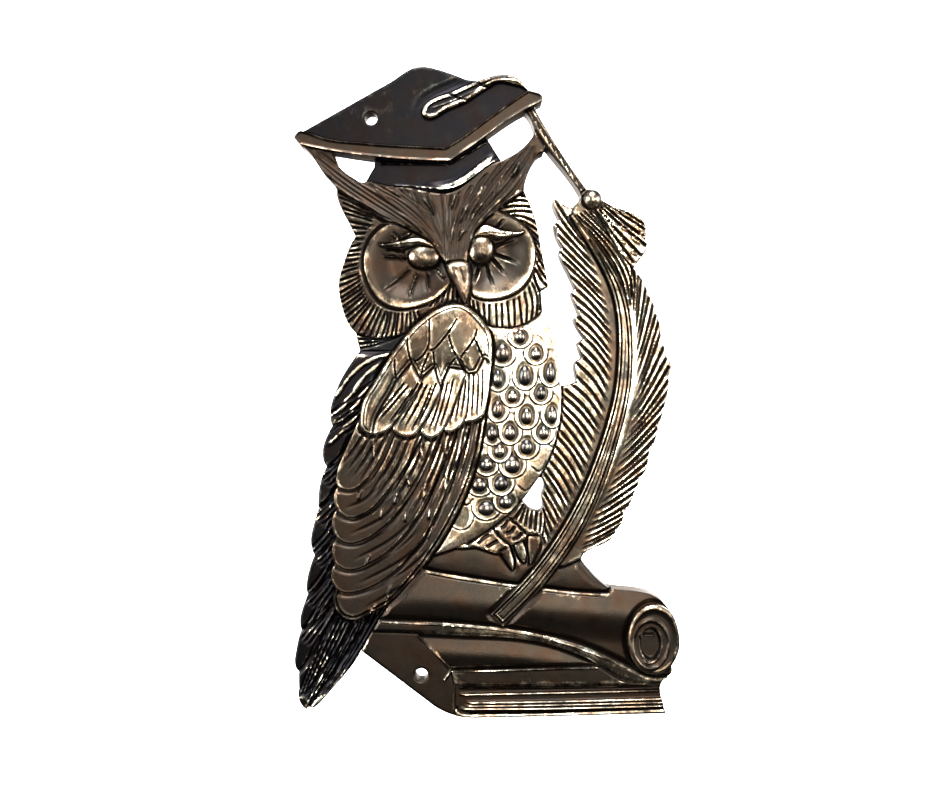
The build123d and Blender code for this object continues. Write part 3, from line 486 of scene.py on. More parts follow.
# wing: a smooth shoulder with cut feather tips, then coverts and long primaries
shoulderCuts = [
    [(-17.3, 22.8), (-17, 17), (-17.4, 13.4), (-20, 10), (-22.8, 8.8)],
    [(-24, 17), (-23.8, 13), (-22.8, 9.2)], [(-27.7, 10.3), (-27.8, 7), (-27.3, 3.6)],
    [(-8.7, 22.5), (-11, 18.5), (-15.5, 13), (-17.3, 12.5)],
    [(-2.6, 19.4), (-3.3, 16.2), (-7.8, 10.3)], [(-3.3, 16.2), (-0.6, 10)],
    [(-7.8, 10.3), (-5.5, 5.2)], [(-0.6, 10), (-2.7, 5.6)],
    [(-11.3, 17.5), (-10.4, 14), (-8.9, 10.8)], [(-16, 12.5), (-15.5, 7), (-13.8, 0.8)],
    [(-9, 10.5), (-11.6, 7.6), (-13.8, 1)], [(-8.8, 10.8), (-6.8, 6.5)],
    [(-22.4, 8.4), (-21, 5.4), (-20, 3.6)], [(-17.2, 12), (-19, 8), (-20, 4)],
]
sculpt("wing_shoulder", rim=(1.0, 1.0), dome=(11, 1.6), finish="burnished", contours=[(1.3, 0.35, -0.4)],
       rub=-0.22,
       strokes=edged(shoulderCuts, 0.45, 0.7))
covertCuts = {
    1: [[(-24.6, 3), (-29, -2.5), (-34.8, -9.4)], [(-23.4, 2), (-28, -3.4), (-33.4, -9.6)],
        [(-22, 1), (-25.4, -4), (-29.8, -10)], [(-20.4, 3), (-23.4, -2.4), (-27.6, -8.4)]],
    2: [[(-19, 3), (-22.6, -4), (-27.2, -11.4)], [(-17.8, 2.4), (-21, -4.6), (-25.4, -12.2)],
        [(-16.4, 2), (-19, -5), (-23.2, -12.8)], [(-15, 3), (-17.6, -4), (-21.4, -11)]],
    3: [[(-14, 4), (-16, -4), (-19.2, -11.6)], [(-12.8, 3), (-14.6, -5), (-17.8, -12.8)],
        [(-11.6, 3), (-13.2, -4.4), (-16, -12.8)], [(-9.8, 4), (-11.4, -3.4), (-14.2, -11.6)]],
    4: [[(-8.8, 6), (-10.4, -2), (-12.8, -10.8)], [(-7.8, 5), (-9.2, -2.4), (-11.2, -11)],
        [(-6.8, 5), (-8, -2), (-9.4, -10)], [(-6, 4), (-6.6, -2), (-7.6, -8.4)]],
    5: [[(-5, 6), (-5.4, -1), (-5.8, -8.4)], [(-3.6, 6), (-3.8, -1), (-4.4, -8.2)],
        [(-2.2, 6), (-2.3, -1), (-2.8, -8)], [(-0.9, 7), (-0.8, 0), (-1.5, -6.8)]],
}
for number, cuts in covertCuts.items():
    sculpt(f"wing_covert_{number}", rim=(0.8, 0.8), sink=(0.8, 0.5), finish="burnished", rub=-0.14,
           strokes=edged(cuts, 0.5, 0.6, (0.05, 0.3)))
primaryCuts = fan([
    [(-37, -12), (-40.5, -17.5), (-44.4, -24)], [(-31, -11), (-35, -20), (-40.6, -29)],
    [(-25, -12), (-29, -22), (-37, -33.6)], [(-19, -12), (-23, -24), (-32, -38)],
    [(-13, -11), (-17, -24), (-27, -42)], [(-9, -9), (-12, -22), (-20, -40)],
    [(-6, -8), (-8, -22), (-14, -38)], [(-3, -8), (-5, -20), (-10, -34)],
    [(-0.6, -6), (-2.4, -16), (-6, -28)],
], 21, 0.4)
primaryLines = fan([
    [(-32, -28), (-36, -33), (-43, -36)], [(-26, -33), (-31, -39), (-42, -44)],
    [(-21, -38), (-28, -45.4), (-41, -52)], [(-17, -43), (-24, -51.4), (-40, -59.4)],
    [(-13, -48), (-21, -57), (-38, -67)],
], 9)
scribes = [
    [(-34.2, -14.6), (-34.3, -18), (-33.8, -22)], [(-23.8, -25.4), (-23.8, -27), (-23.3, -29)],
    [(-24.5, -36.6), (-24.8, -40)], [(-31.8, -35.6), (-32, -39.2)], [(-38.2, -29.6), (-39, -33.4)],
    [(-27, -30.6), (-28, -34.8)], [(-17.2, -35.6), (-17.4, -39.4)],
    [(-18.4, -27.6), (-18.6, -30), (-19.4, -33.4)],
    [(-12, -23.6), (-12, -27), (-12.6, -31.4)], [(-35.4, -49.6), (-36.6, -53.2)],
    [(-29, -58.6), (-29.6, -62), (-31, -65.4)],
    [(-33.5, -64.6), (-35, -67), (-37, -69.2)], [(-19.6, -15), (-19.8, -18), (-19.2, -21)],
    [(-12.2, -15.6), (-12.4, -18), (-12, -20)], [(-16.4, -40.6), (-17, -43), (-18.2, -45.4)],
]
for number in range(1, 7):
    contours = [(0.5, 0.3, 0.15)] if number < 6 else [(0.55, 0.35, 0.3), (1.1, 0.3, -0.45),
                                                      (1.7, 0.35, 0.25)]
    sculpt(f"wing_primary_{number}", rim=(0.5, 0.6), sink=(1.6, 1.0), contours=contours, rub=-0.18,
           strokes=[
        (primaryCuts, 0.75, -0.7, (0.03, 0.5)),
        (primaryLines, 0.9, -0.4, (0.3, 0.3)),
        (scribes, 0.7, 1.0, (0.3, 0.35)),
    ])

# back and tail: dark feathers with long strokes
backSoft = [
    [(-27, 12.4), (-34, 10.8), (-41, 6.4), (-47.4, -3.6)],
    [(-30, 10.4), (-37, 5.8), (-42.4, -2.6), (-47.6, -8.6)],
    [(-33, 5.6), (-37.6, -0.6), (-42.6, -8.4)], [(-36.6, -3.4), (-42, -10), (-49, -17)],
]
backStrokes = (hatch((-50, -14), 40, 26, 1.7, 1) + hatch((-48.5, -7), 38, 22, 1.6, 9, 0.6)
               + hatch((-52, -26), 44, 16, 1.6, 5, 0.6) + hatch((-54, -38), 48, 16, 1.6, 6, 0.7)
               + hatch((-55.6, -50), 50, 16, 1.6, 6, 0.7) + hatch((-57, -64), 54, 16, 1.5, 7, 0.7)
               + hatch((-58.6, -76), 58, 17, 1.5, 8, 0.7) + hatch((-59.4, -90), 62, 18, 1.5, 6, 0.6))
tailStrands = fan([[(-57.4, -93), (-52.6, -80), (-46, -66)], [(-54, -96), (-46, -82), (-39, -68)],
                   [(-49, -93), (-40, -80), (-32, -66)]], 12)
for number in range(1, 8):
    sculpt(f"back_feather_{number}", rim=(0.9, 0.8), sink=(1.8, 1.1), finish="patina", rub=0.06, strokes=[
        (backSoft, 1.2, 0.8, (0.2, 0.2)),
        (backStrokes, 0.62, -0.6, (0.1, 0.1)),
    ])
for number in range(1, 4):
    sculpt(f"tail_feather_{number}", rim=(0.8, 0.8), sink=(1.4, 0.9), finish="patina", strokes=[
        (tailStrands, 0.62, -0.65, (0.06, 0.1)),
    ])

# breast: overlapping scales, all but the lowest with a polished boss
bosses = [
    (10.6, 17, 1.9, 2.4), (5.2, 12, 2.3, 3.1), (15.4, 11.8, 1.8, 2.3), (3.8, 4.2, 1.7, 2.9),
    (12, 5, 2, 3.3),
    (19.9, 6, 1.7, 3.3), (8.2, -1.3, 1.8, 2.2), (17, -0.3, 1.7, 2.3), (3.7, -5.2, 1.8, 2.9),
    (12.6, -7.4, 1.9, 2.8), (20.4, -7, 1.7, 2.9), (2, -12.6, 1.8, 2.6), (7.5, -12.4, 1.9, 2.6),
    (17.8, -12.4, 1.8, 2.4), (4.3, -18, 1.9, 2.4), (12.6, -16.8, 2.1, 2.6), (0.3, -22.2, 2.2, 2.3),
    (8.2, -22.2, 2.5, 2.9), (-1.9, -28.4, 2.3, 2.4), (4.8, -28, 2.3, 2.5), (0.2, -35.6, 2.6, 2.4),
    (6.2, -33.6, 2.2, 2.3), (-7.6, -37.6, 2.2, 3.4),
]
looseScales = [[(9.6, -28.4), (12.4, -31), (15.2, -27.4)], [(13.8, -22.6), (16.8, -25.2), (18.8, -20.4)],
               [(19, -15.8), (21, -17.6), (22.2, -13.6)], [(-8.4, -33.6), (-5.6, -35.2), (-3.6, -32.4)]]
scaleShape = {"beside": 2.0, "below": 1.5, "tilt": 0.2, "edge": 0.5, "seat": 0.35, "line": 0.38}


def breastScales(points, height):
    # every scale rises to its lower edge and lies over the scales below it
    for x, z, wide, high in sorted(bosses, key=lambda boss: boss[1]):
        reachX, reachZ = wide + scaleShape["beside"], high + scaleShape["below"]
        across = (points[:, 0] - x) / reachX
        down = (z - points[:, 1]) / np.where(points[:, 1] < z, reachZ, reachZ * 1.6)
        out = np.sqrt(across ** 2 + down ** 2)
        raised = scaleShape["tilt"] * np.clip(down, -1, 1)
        cover = softStep((1 - out) / (scaleShape["edge"] / reachZ))
        height = height * (1 - cover) + raised * cover
        line = softStep(1 - np.abs(out - 0.97) * reachZ / 0.42) * softStep((down + 0.35) / 0.4)
        height = height - scaleShape["line"] * line
        ring = np.sqrt(((points[:, 0] - x) / wide) ** 2 + ((points[:, 1] - z) / high) ** 2)
        height = height - scaleShape["seat"] * softStep((1.55 - ring) / 0.55)
    return height


sculpt("breast", rim=(0.8, 0.7), sink=(1.2, 0.8), dome=(9, 1.3), finish="breast", rub=0.04,
       shape=breastScales, strokes=[
    (hatch((11, 20.4), -62, 3, 1.5, 5), 0.4, -0.3, (0.1, 0.3)),
    (looseScales, 0.4, -0.4, (0.15, 0.15)),
])

# foot on the scroll
sculpt("leg", rim=(0.8, 0.7), rub=-0.14, strokes=[
    (fan([[(11.8, -34.2), (10.4, -37), (8.8, -39.4)], [(13.8, -34.6), (13.2, -38.4), (13, -42)],
          [(17, -36.6), (17, -40.4), (16.6, -43.8)]], 6), 0.7, -0.8, (0.1, 0.1)),
])
sculpt("toes", rim=(0.8, 0.8), rub=-0.12, strokes=[
    ([[(4, -45.6), (1.6, -46.8), (0, -48)], [(1.4, -43.6), (-1, -45), (-2.6, -47)],
      [(-2.6, -44.4), (-5, -46), (-6.2, -47.4)],
      [(9.2, -41), (8, -43), (6, -43.6)], [(11.4, -43), (10, -45), (8, -45.4)],
      [(7, -39), (6, -41), (4.4, -42)]],
     0.8, -0.8, (0.1, 0.2)),
])
sculpt("claws", rim=(1.1, 1.2), rub=-0.2)
sculpt("ground", rim=(3.2, 1.3), sink=(1.0, 0.6), dome=(4, 0.5), rub=-0.15)

# quill: a ridged shaft, curved barbs on both sides and a smooth band beside the shaft
innerBarbs = fan([
    [(20.4, 60.4), (25, 53.4), (30.4, 46)], [(20.6, 52.4), (27, 45), (34.2, 37.4)],
    [(22, 44.8), (29, 38.4), (36.4, 30.4)], [(24.4, 37.6), (31.2, 32.2), (37.8, 24.2)],
    [(26, 30.4), (32.8, 25), (38.8, 17)], [(27.4, 23.4), (33.4, 18.5), (38.9, 11)],
    [(29, 16.8), (34.4, 11.5), (38.6, 4.5)], [(27.4, 10.2), (33.4, 5), (37.6, -2.5)],
    [(25.4, 3), (31.4, -2), (36.2, -9.5)], [(23.2, -1), (29.3, -6.5), (34.6, -14.5)],
    [(22.2, -6), (27.8, -12.5), (32.8, -20.5)], [(20.8, -12), (26.6, -18), (31, -26.5)],
    [(19.3, -17.4), (24.6, -23.5), (28.8, -31)], [(17.8, -22.8), (22.4, -29), (26.2, -36)],
    [(17.4, -28.6), (21.2, -34.5), (23.8, -39.6)], [(17, -34.6), (19.6, -40), (21.4, -43.8)],
    [(16.4, -41), (17.8, -45), (18.8, -48)],
], 37, 0.3)
outerBarbs = fan([
    [(44.6, 24), (45.2, 31), (44.8, 40)], [(45.8, 19), (46.8, 28), (47.2, 38)],
    [(46, 12), (48, 22), (50.2, 33)], [(46, 5), (49, 14), (52.4, 27)], [(45.8, -3), (49.6, 6), (54.4, 20)],
    [(44.4, -9), (49.4, -1), (56.2, 11)], [(43.4, -14.5), (49, -8), (57, 3)],
    [(41.6, -20), (47, -14), (55.6, -5)],
    [(38.8, -26.5), (44.6, -21.5), (53.6, -12.6)], [(36.4, -32), (42, -28), (50.6, -21)],
    [(33.4, -38), (38.6, -34.8), (47.4, -28.6)], [(30.6, -43), (35.6, -40.4), (44.6, -35.6)],
    [(29.6, -47), (34.4, -44.4), (42.4, -40.4)], [(29.4, -50), (33, -48.2), (39.4, -45)],
], 30, 0.3)
upperBarbs = fan([[(30.6, 51), (37, 43.6), (42.2, 34), (44, 24)],
                  [(34.6, 50), (40, 44), (44.6, 36), (45.4, 27)],
                  [(38, 50), (42.6, 45), (46.6, 39), (47.4, 34)]], 5)
knotStrands = fan([[(27.6, 54.6), (32.6, 50.4), (38, 44.8)], [(30.6, 56), (35, 51.6), (40.4, 46.4)],
                   [(33.6, 56.2), (37.4, 52), (42, 47.6)]], 6, 0.2)
quillBand = [[(44.2, 32), (45.4, 22), (45.4, 12), (44.6, 2), (42.4, -8), (39.4, -18), (35.6, -28),
              (30.6, -38), (26, -46)]]
sculpt("quill_shaft", rim=(0.35, 0.3), contours=[(0.75, 0.35, -0.9), (1.75, 0.3, -0.35)],
       finish="burnished", rub=-0.34,
       pitch=0.2)
sculpt("quill_vane_inner", rim=(0.6, 0.6), sink=(0.9, 0.7), finish="burnished", rub=-0.12, strokes=[
    (innerBarbs, 0.58, -0.7, (0.02, 0.2)),
])
# the smooth band beside the shaft is raised, and a painted highlight runs along it
sculpt("quill_vane_outer", rim=(0.6, 0.6), sink=(0.9, 0.6), finish="quillBand", rub=-0.1, strokes=[
    (outerBarbs, 0.72, -0.95, (0.35, 0.02)),
    (upperBarbs, 0.65, -0.85, (0.1, 0.1)),
    (knotStrands, 0.55, -0.7, (0.1, 0.1)),
    (quillBand, 2.6, 0.6, (0.15, 0.1)),
], paintedHighlight=[(quillBand, 4.0, 0.5)])

# scroll: a curled sheet with a thick rolled front edge, and the hollow end of the roll
sheetHigh = [[(-30, -64), (-18, -63.6), (0, -64.8), (10, -65.8), (26, -67.2), (40, -68.2), (48, -69)]]
sculpt("scroll_sheet", rim=(0.5, 0.4), sink=(1.8, 1.0), finish="antique", strokes=[
    (sheetHigh, 9, 1.5, (0, 0)),
    ([[(-19, -55.6), (-8, -57.6), (9, -60), (26, -62), (40, -63)]], 0.35, -0.3, (0.05, 0.1)),
], rub=-0.3)
bandTop = [[(-34, -70.1), (-20, -70.6), (0, -72), (10, -73.4), (20, -75.4), (30, -78.4), (38, -81.9),
            (46, -85.6)]]
sculpt("scroll_edge", rim=(1.5, 1.2), rub=-0.22, pitch=0.2, strokes=[(bandTop, 0.35, 0.4, (0.05, 0.1))])


def ringShare(points, centre, halfSizes, at, width):
    # 1 on an oval ring, at is its size as a share of the half sizes
    out = np.sqrt(((points - np.array(centre)) ** 2 / np.array(halfSizes) ** 2).sum(1))
    return softStep(1 - np.abs(out - at) * min(halfSizes) / width), out


rollEnd = {"centre": (51.2, -75.3), "halfSizes": (8, 10.7), "hollow": (50.2, -76.6),
           "hollowSizes": (3.3, 5.2)}


def rollHeight(points, height):
    outer, out = ringShare(points, rollEnd["centre"], rollEnd["halfSizes"], 0.9, 0.8)
    turn, _ = ringShare(points, rollEnd["hollow"], (5.4, 7.2), 1.0, 0.8)
    _, inner = ringShare(points, rollEnd["hollow"], rollEnd["hollowSizes"], 1.0, 1.0)
    height = height - 0.4 * softStep((0.86 - out) / 0.16) + 0.2 * outer + 0.5 * turn
    height = height - 2.2 * softStep((1.0 - inner) / 0.2)
    bar = strokeShare(points, [[(46.6, -74.1), (51.4, -74.1)]], 0.7, (0.1, 0.1))
    curl = strokeShare(points, [[(47.6, -81.6), (49.4, -82.6), (51.6, -81.8), (52.6, -80)]], 0.6,
                       (0.2, 0.2))
    return height + 2.2 * bar + 0.7 * curl


sculpt("scroll_roll", rim=(0.9, 0.9), shape=rollHeight, finish="antique", rub=-0.34, pitch=0.2, solid=True)

# book: smooth cover, raised panel line and a block of pages
panelLine = [[(-20.9, -74.4), (-18.2, -77.4), (-14.4, -81), (-10.6, -85.2)],
             [(-10.6, -85.4), (-12.8, -88.6)]]
pageRidges = [
    [(-8.6, -90.6), (20, -90.5), (55, -89.9)], [(-8.4, -92.8), (20, -92.3), (55, -91.4)],
    [(-6.4, -95.3), (20, -95), (55, -94)], [(-7, -96.3), (20, -96), (55, -95.1)],
    [(-8.4, -97.2), (20, -97.1), (55, -96.2)],
]
sculpt("book_corner", rim=(0.7, 0.5), sink=(0.6, 0.3), rub=-0.14,
       strokes=[(panelLine, 0.5, 0.5, (0.05, 0.1))])
sculpt("book_cover", rim=(0.4, 0.3), sink=(1.4, 0.9), rub=-0.24, strokes=[
    (panelLine, 0.6, 0.5, (0.05, 0.1)),
    ([[(-24, -79.4), (-6, -80.4), (8, -81), (20, -82.6), (32, -84.4), (40, -88)]], 6, 1.0, (0.1, 0.1)),
])
sculpt("book_cover_lip", rim=(0.5, 0.5), rub=-0.22, pitch=0.2, strokes=[
    ([[(-10.6, -85.3), (0, -85.2), (20, -84.5), (36, -84.2)]], 0.4, 0.4, (0.02, 0.1)),
])
sculpt("book_pages", rim=(0.3, 0.2), sink=(0.8, 0.6), rub=-0.26, pitch=0.2, strokes=[
    (pageRidges, 0.7, 0.9, (0.04, 0.02)),
], guides=(pageRidges, (0, 0.2, -0.2, 0.42, -0.42)))
sculpt("book_lower_cover", rim=(0.8, 0.7), rub=-0.2)


def domeShape(centre, halfSizes, turn, rise):
    # a round front over an oval
    def shape(points, height):
        angle = math.radians(turn)
        x, z = (points - np.array(centre)).T
        across = x * math.cos(angle) + z * math.sin(angle)
        up = z * math.cos(angle) - x * math.sin(angle)
        out = (across / halfSizes[0]) ** 2 + (up / halfSizes[1]) ** 2
        return height + rise * np.sqrt(np.clip(1 - out, 0, 1))
    return shape


sculpt("eye_left", rub=-0.3, pitch=0.2, rim=(0.1, 0.05), sink=(0.8, 0.5), finish="antique", solid=True,
       height=7.2,
       shape=domeShape((-18.9, 41.6), (4.8, 3.5), 0, 2.2))
sculpt("eye_right", rub=-0.28, pitch=0.2, rim=(0.1, 0.05), sink=(0.8, 0.5), finish="antique", solid=True,
       height=7.2,
       shape=domeShape((-1.4, 43.7), (3.8, 4.2), -20, 2.2))
sculpt("tassel_bead", rub=-0.24, pitch=0.2, rim=(0.1, 0.05), sink=(0.1, 0), finish="antique", solid=True,
       height=6.9,
       shape=domeShape((32.9, 59.2), (2.95, 2.95), 0, 2.9))


def classifyEdges(islands):
    # for each loop point: 1 where the piece has its own edge over another, 2 where it lies under one, 0 free
    owners, places = [], []
    for island in islands:
        for loop in island["loops"]:
            dense = finer(loop)
            places.append(dense)
            owners.append(np.full(len(dense), island["order"]))
    places, owners = np.concatenate(places), np.concatenate(owners)
    for island in islands:
        low = island["loops"][0].min(0) - 1
        high = island["loops"][0].max(0) + 1
        near = ((places > low) & (places < high)).all(1) & (owners != island["order"])
        others, order = places[near], owners[near]
        island["kinds"] = []
        for loop in island["loops"]:
            kind = np.zeros(len(loop), int)
            kind[distances(loop, others[order > island["order"]]) < surface["sameEdge"]] = 1
            kind[distances(loop, others[order < island["order"]]) < surface["sameEdge"]] = 2
            island["kinds"].append(kind)


def edgePoints(island, wanted):
    found = []
    for loop, kind in zip(island["loops"], island["kinds"]):
        match = kind == wanted
        both = match & np.roll(match, -1)
        found += [loop[match], ((loop + np.roll(loop, -1, 0)) / 2)[both]]
    return np.concatenate(found)


def roundEdge(gap, width):
    # 0 at the edge, rising as a quarter circle to 1
    share = np.clip(gap / width, 0, 1)
    return np.sqrt(1 - (1 - share) ** 2)


def shapedHeights(island, points):
    look = sculpted[island["node"]]
    own = np.minimum(distances(points, edgePoints(island, 1)), distances(points, edgePoints(island, 0)))
    under = distances(points, edgePoints(island, 2))
    height = np.zeros(len(points))
    if look["shape"]:
        height = look["shape"](points, height)
    rimWidth, rimDrop = look["rim"]
    height = height - rimDrop * (1 - roundEdge(own, rimWidth))
    sinkWidth, sinkDepth = look["sink"]
    height = height - sinkDepth * (1 - softStep(under / sinkWidth))
    if look["lip"]:
        start, width, depth = look["lip"]
        height = height - depth * softStep((own - start) / width)
    if look["dish"]:
        start, width, depth = look["dish"]
        height = height - depth * softStep((own - start) / width)
    if look["dome"]:
        width, rise = look["dome"]
        height = height + rise * (roundEdge(np.minimum(own, under), width) - 1)
    for start, width, rise in look["contours"]:
        height = height + rise * softStep(1 - np.abs(own - start) / width)
    for lines, width, rise, taper in look["strokes"]:
        height = height + rise * strokeShare(points, lines, width, taper)
    return height + island["top"]


def triangulated(points, loops):
    # triangles between the points that stay inside the loops; the loops' points come first
    sides, start = [], 0
    for loop in loops:
        sides += [(start + n, start + (n + 1) % len(loop)) for n in range(len(loop))]
        start += len(loop)
    made = delaunay_2d_cdt([Vector(place) for place in points], sides, [], 0, 1e-6, False)
    where = np.array([list(v) for v in made[0]])
    faces = np.array([f for f in made[2]])
    onLoop = faces < start
    middles = where[faces].mean(1)
    keep = np.ones(len(faces), bool)
    edge = onLoop.all(1)
    keep[edge] = areInside(middles[edge], loops)
    return where, faces[keep]


islands = []
for order, node in enumerate(frontToBack):
    look = sculpted[node]
    top = look["height"] or nodeHeight(node)
    level = plateFront if look["solid"] else top
    for loops in islandsOf(node, level, look["pitch"], look["solid"]):
        islands.append({"node": node, "order": order, "loops": loops, "top": top})
classifyEdges(islands)
print("outlines read:", len(islands), "faces")

for island in islands:
    pitch = sculpted[island["node"]]["pitch"]
    lattice = latticeInside(island["loops"], pitch)
    rim = np.concatenate(island["loops"])
    clear = distances(lattice, rim) > surface["edgeRows"][-1] + 0.5 * pitch
    guides = guidePoints(*sculpted[island["node"]]["guides"], island["loops"], pitch)
    clear &= distances(lattice, guides) > 0.6 * pitch
    points = np.concatenate([rim, rowsInside(island["loops"]), guides, lattice[clear]])
    island["points"], island["faces"] = triangulated(points, island["loops"])
    island["heights"] = shapedHeights(island, island["points"])
    island["rim"] = len(rim)
print("faces sculpted:", sum(len(island["points"]) for island in islands), "points")


# wear and painted light: how far each place stands above what is round it, so patina stays dark in the
# hollows and the high places come out as rubbed metal

# the gains are set high, so ridges and edges come out pale partly as rubbed metal and partly as painted
# highlights
wearLook = {"cell": 0.3, "near": 0.55, "far": 2.4, "nearGain": 3.8, "farGain": 0.7}
# painted light and shade over broad patches, lighter on the breast and shoulder, darker towards the lower
# left, the back, the tail, the top of the left brow and the lower and right breast: place, how far it
# reaches, how much
paintedLightAreas = [
    (12, 4, 18, 0.08), (-8, 12, 12, 0.08), (10, -30, 14, -0.1), (20, 0, 9, -0.06),
    (-42, -55, 26, -0.24), (-54, -75, 22, -0.14), (-46, -15, 14, -0.14), (-34, 60, 16, -0.12),
]


def blurred(values, spread):
    reach = int(3 * spread) + 1
    kernel = np.exp(-0.5 * (np.arange(-reach, reach + 1) / spread) ** 2)
    kernel /= kernel.sum()
    for axis in (0, 1):
        values = np.apply_along_axis(lambda row: np.convolve(row, kernel, "same"), axis, values)
    return values


def wearField(islands):
    cell = wearLook["cell"]
    places = np.concatenate([island["points"] for island in islands])
    heights = np.concatenate([island["heights"] for island in islands])
    low = places.min(0) - 6
    size = np.ceil((places.max(0) + 6 - low) / cell).astype(int) + 1
    slots = ((places - low) / cell + 0.5).astype(int)
    index = slots[:, 0] * size[1] + slots[:, 1]
    cells = size[0] * size[1]
    held = np.bincount(index, minlength=cells).reshape(size)
    average = np.bincount(index, heights, minlength=cells).reshape(size) / np.maximum(held, 1)
    filled = (held > 0).astype(float)
    fields = []
    for spread in (wearLook["near"], wearLook["far"]):
        fields.append(blurred(average * filled, spread / cell) / np.maximum(blurred(filled, spread / cell),
                                                                            1e-3))
    return low, cell, fields


def sampled(field, places, low, cell):
    at = (places - low) / cell
    base = np.floor(at).astype(int)
    part = at - base
    x, z = base.T
    u, v = part.T
    return (field[x, z] * (1 - u) * (1 - v) + field[x + 1, z] * u * (1 - v)
            + field[x, z + 1] * (1 - u) * v + field[x + 1, z + 1] * u * v)


low, cell, (nearField, farField) = wearField(islands)
for island in islands:
    above = (wearLook["nearGain"] * (island["heights"] - sampled(nearField, island["points"], low, cell))
             + wearLook["farGain"] * (island["heights"] - sampled(farField, island["points"], low, cell)))
    # the piece's tone shift is partly rubbing and partly painted light and shade; the patches below add
    # painted light and shade, the highlight lines painted highlights
    rub = sculpted[island["node"]]["rub"]
    for x, z, reach, amount in paintedLightAreas:
        rub = rub + amount * np.exp(-((island["points"] - (x, z)) ** 2).sum(1) / reach ** 2)
    for lines, width, amount in sculpted[island["node"]]["paintedHighlight"]:
        rub = rub + amount * strokeShare(island["points"], lines, width, (0.15, 0.15))
    island["wear"] = np.clip(0.5 + 0.5 * np.tanh(above) + rub, 0, 1)
print("wear worked out")


def linearColour(code):
    # sRGB hex to scene linear
    parts = [int(code[n:n + 2], 16) / 255 for n in (1, 3, 5)]
    return tuple(p / 12.92 if p <= 0.04045 else ((p + 0.055) / 1.055) ** 2.4 for p in parts) + (1.0,)


def addNode(tree, kind, settings=None, links=None):
    made = tree.nodes.new(kind)
    for name, value in (settings or {}).items():
        if hasattr(made, name):
            setattr(made, name, value)
        else:
            made.inputs[name].default_value = value
    for name, source in (links or {}).items():
        tree.links.new(source, made.inputs[name])
    return made


def setStops(ramp, stops):
    # the ramp starts with two stops, so they take the first and last colour
    ends = ramp.color_ramp.elements
    for end, (at, colour) in zip(list(ends), (stops[0], stops[-1])):
        end.position = at
        end.color = linearColour(colour)
    for at, colour in stops[1:-1]:
        ends.new(at).color = linearColour(colour)


def scaleFor(size):
    # noise scale for a feature of this size in millimetres
    return 1 / (size * metre)


# dark, low, mid and high are the colours from a full wash of patina to bare rubbed metal; rough goes from
# washed to rubbed; shift is how far the whole piece was rubbed back
finishes = {
    # cast bronze with a brown-black patina rubbed back on the high places: satin, warm
    "antique": {
        "name": "antiqueBronzeRubbedPatina", "shift": 0.0, "rough": (0.42, 0.26),
        "dark": "#241f1c", "low": "#221e1b", "mid": "#71665a", "high": "#f0e8d6",
    },
    # the same bronze, rubbed further: pale gold over most of the face
    "burnished": {
        "name": "burnishedBronze", "shift": 0.06, "rough": (0.42, 0.25),
        "dark": "#292421", "low": "#37322c", "mid": "#7f7467", "high": "#f6efdf",
    },
    # burnished bronze with more wash left on it: a deeper brown between the barbs
    "quillBand": {
        "name": "burnishedBronzeQuill", "shift": 0.0, "rough": (0.42, 0.25),
        "dark": "#292421", "low": "#37322c", "mid": "#7d7265", "high": "#f6efdf",
    },
    # the place that hands touch most: bright, soft gold with brown only in the cuts
    "breast": {
        "name": "burnishedBronzeBreast", "shift": 0.06, "rough": (0.4, 0.28),
        "dark": "#332c27", "low": "#544e44", "mid": "#a09585", "high": "#faf5e8",
    },
    # patina left on: near black with a blue cast, only the edges rubbed
    "patina": {
        "name": "darkPatinaBronze", "shift": -0.05, "rough": (0.42, 0.28),
        "dark": "#100f12", "low": "#111113", "mid": "#2c2b2a", "high": "#d8d0be",
    },
    # patina polished to a gloss on the round fronts
    "polished": {
        "name": "polishedDarkBronze", "shift": 0.0, "rough": (0.32, 0.24),
        "dark": "#1c1b1e", "low": "#383638", "mid": "#69645f", "high": "#e0d8ca",
    },
}
washLook = {
    "stops": (0.25, 0.55, 0.76, 0.92),  # share of wear and painted light at which each of the four colours is reached
    "fleckShare": 0.35,  # how far the rub marks move the wear
    "cloudShare": 1.0,  # how far the clouds move it
    "offset": -0.675,  # takes out the middle of both
    "tintSize": 7.0,  # mm, patches of thin and thick wash
    "tints": ((0.36, "#ffebda"), (0.5, "#fffbf3"), (0.64, "#e7f0ee")),  # copper, neutral, cool
}
castGrain = 0.35  # mm, the sand grain left in the cast face
mottle = 4.0  # mm, clouds in the patina
rubMarks = (0.5, 1.0)  # mm, width and length of the wire-wool marks


def emptyMaterial(name):
    material = bpy.data.materials.new(name)
    material.use_nodes = True
    material.node_tree.nodes.clear()
    return material, material.node_tree


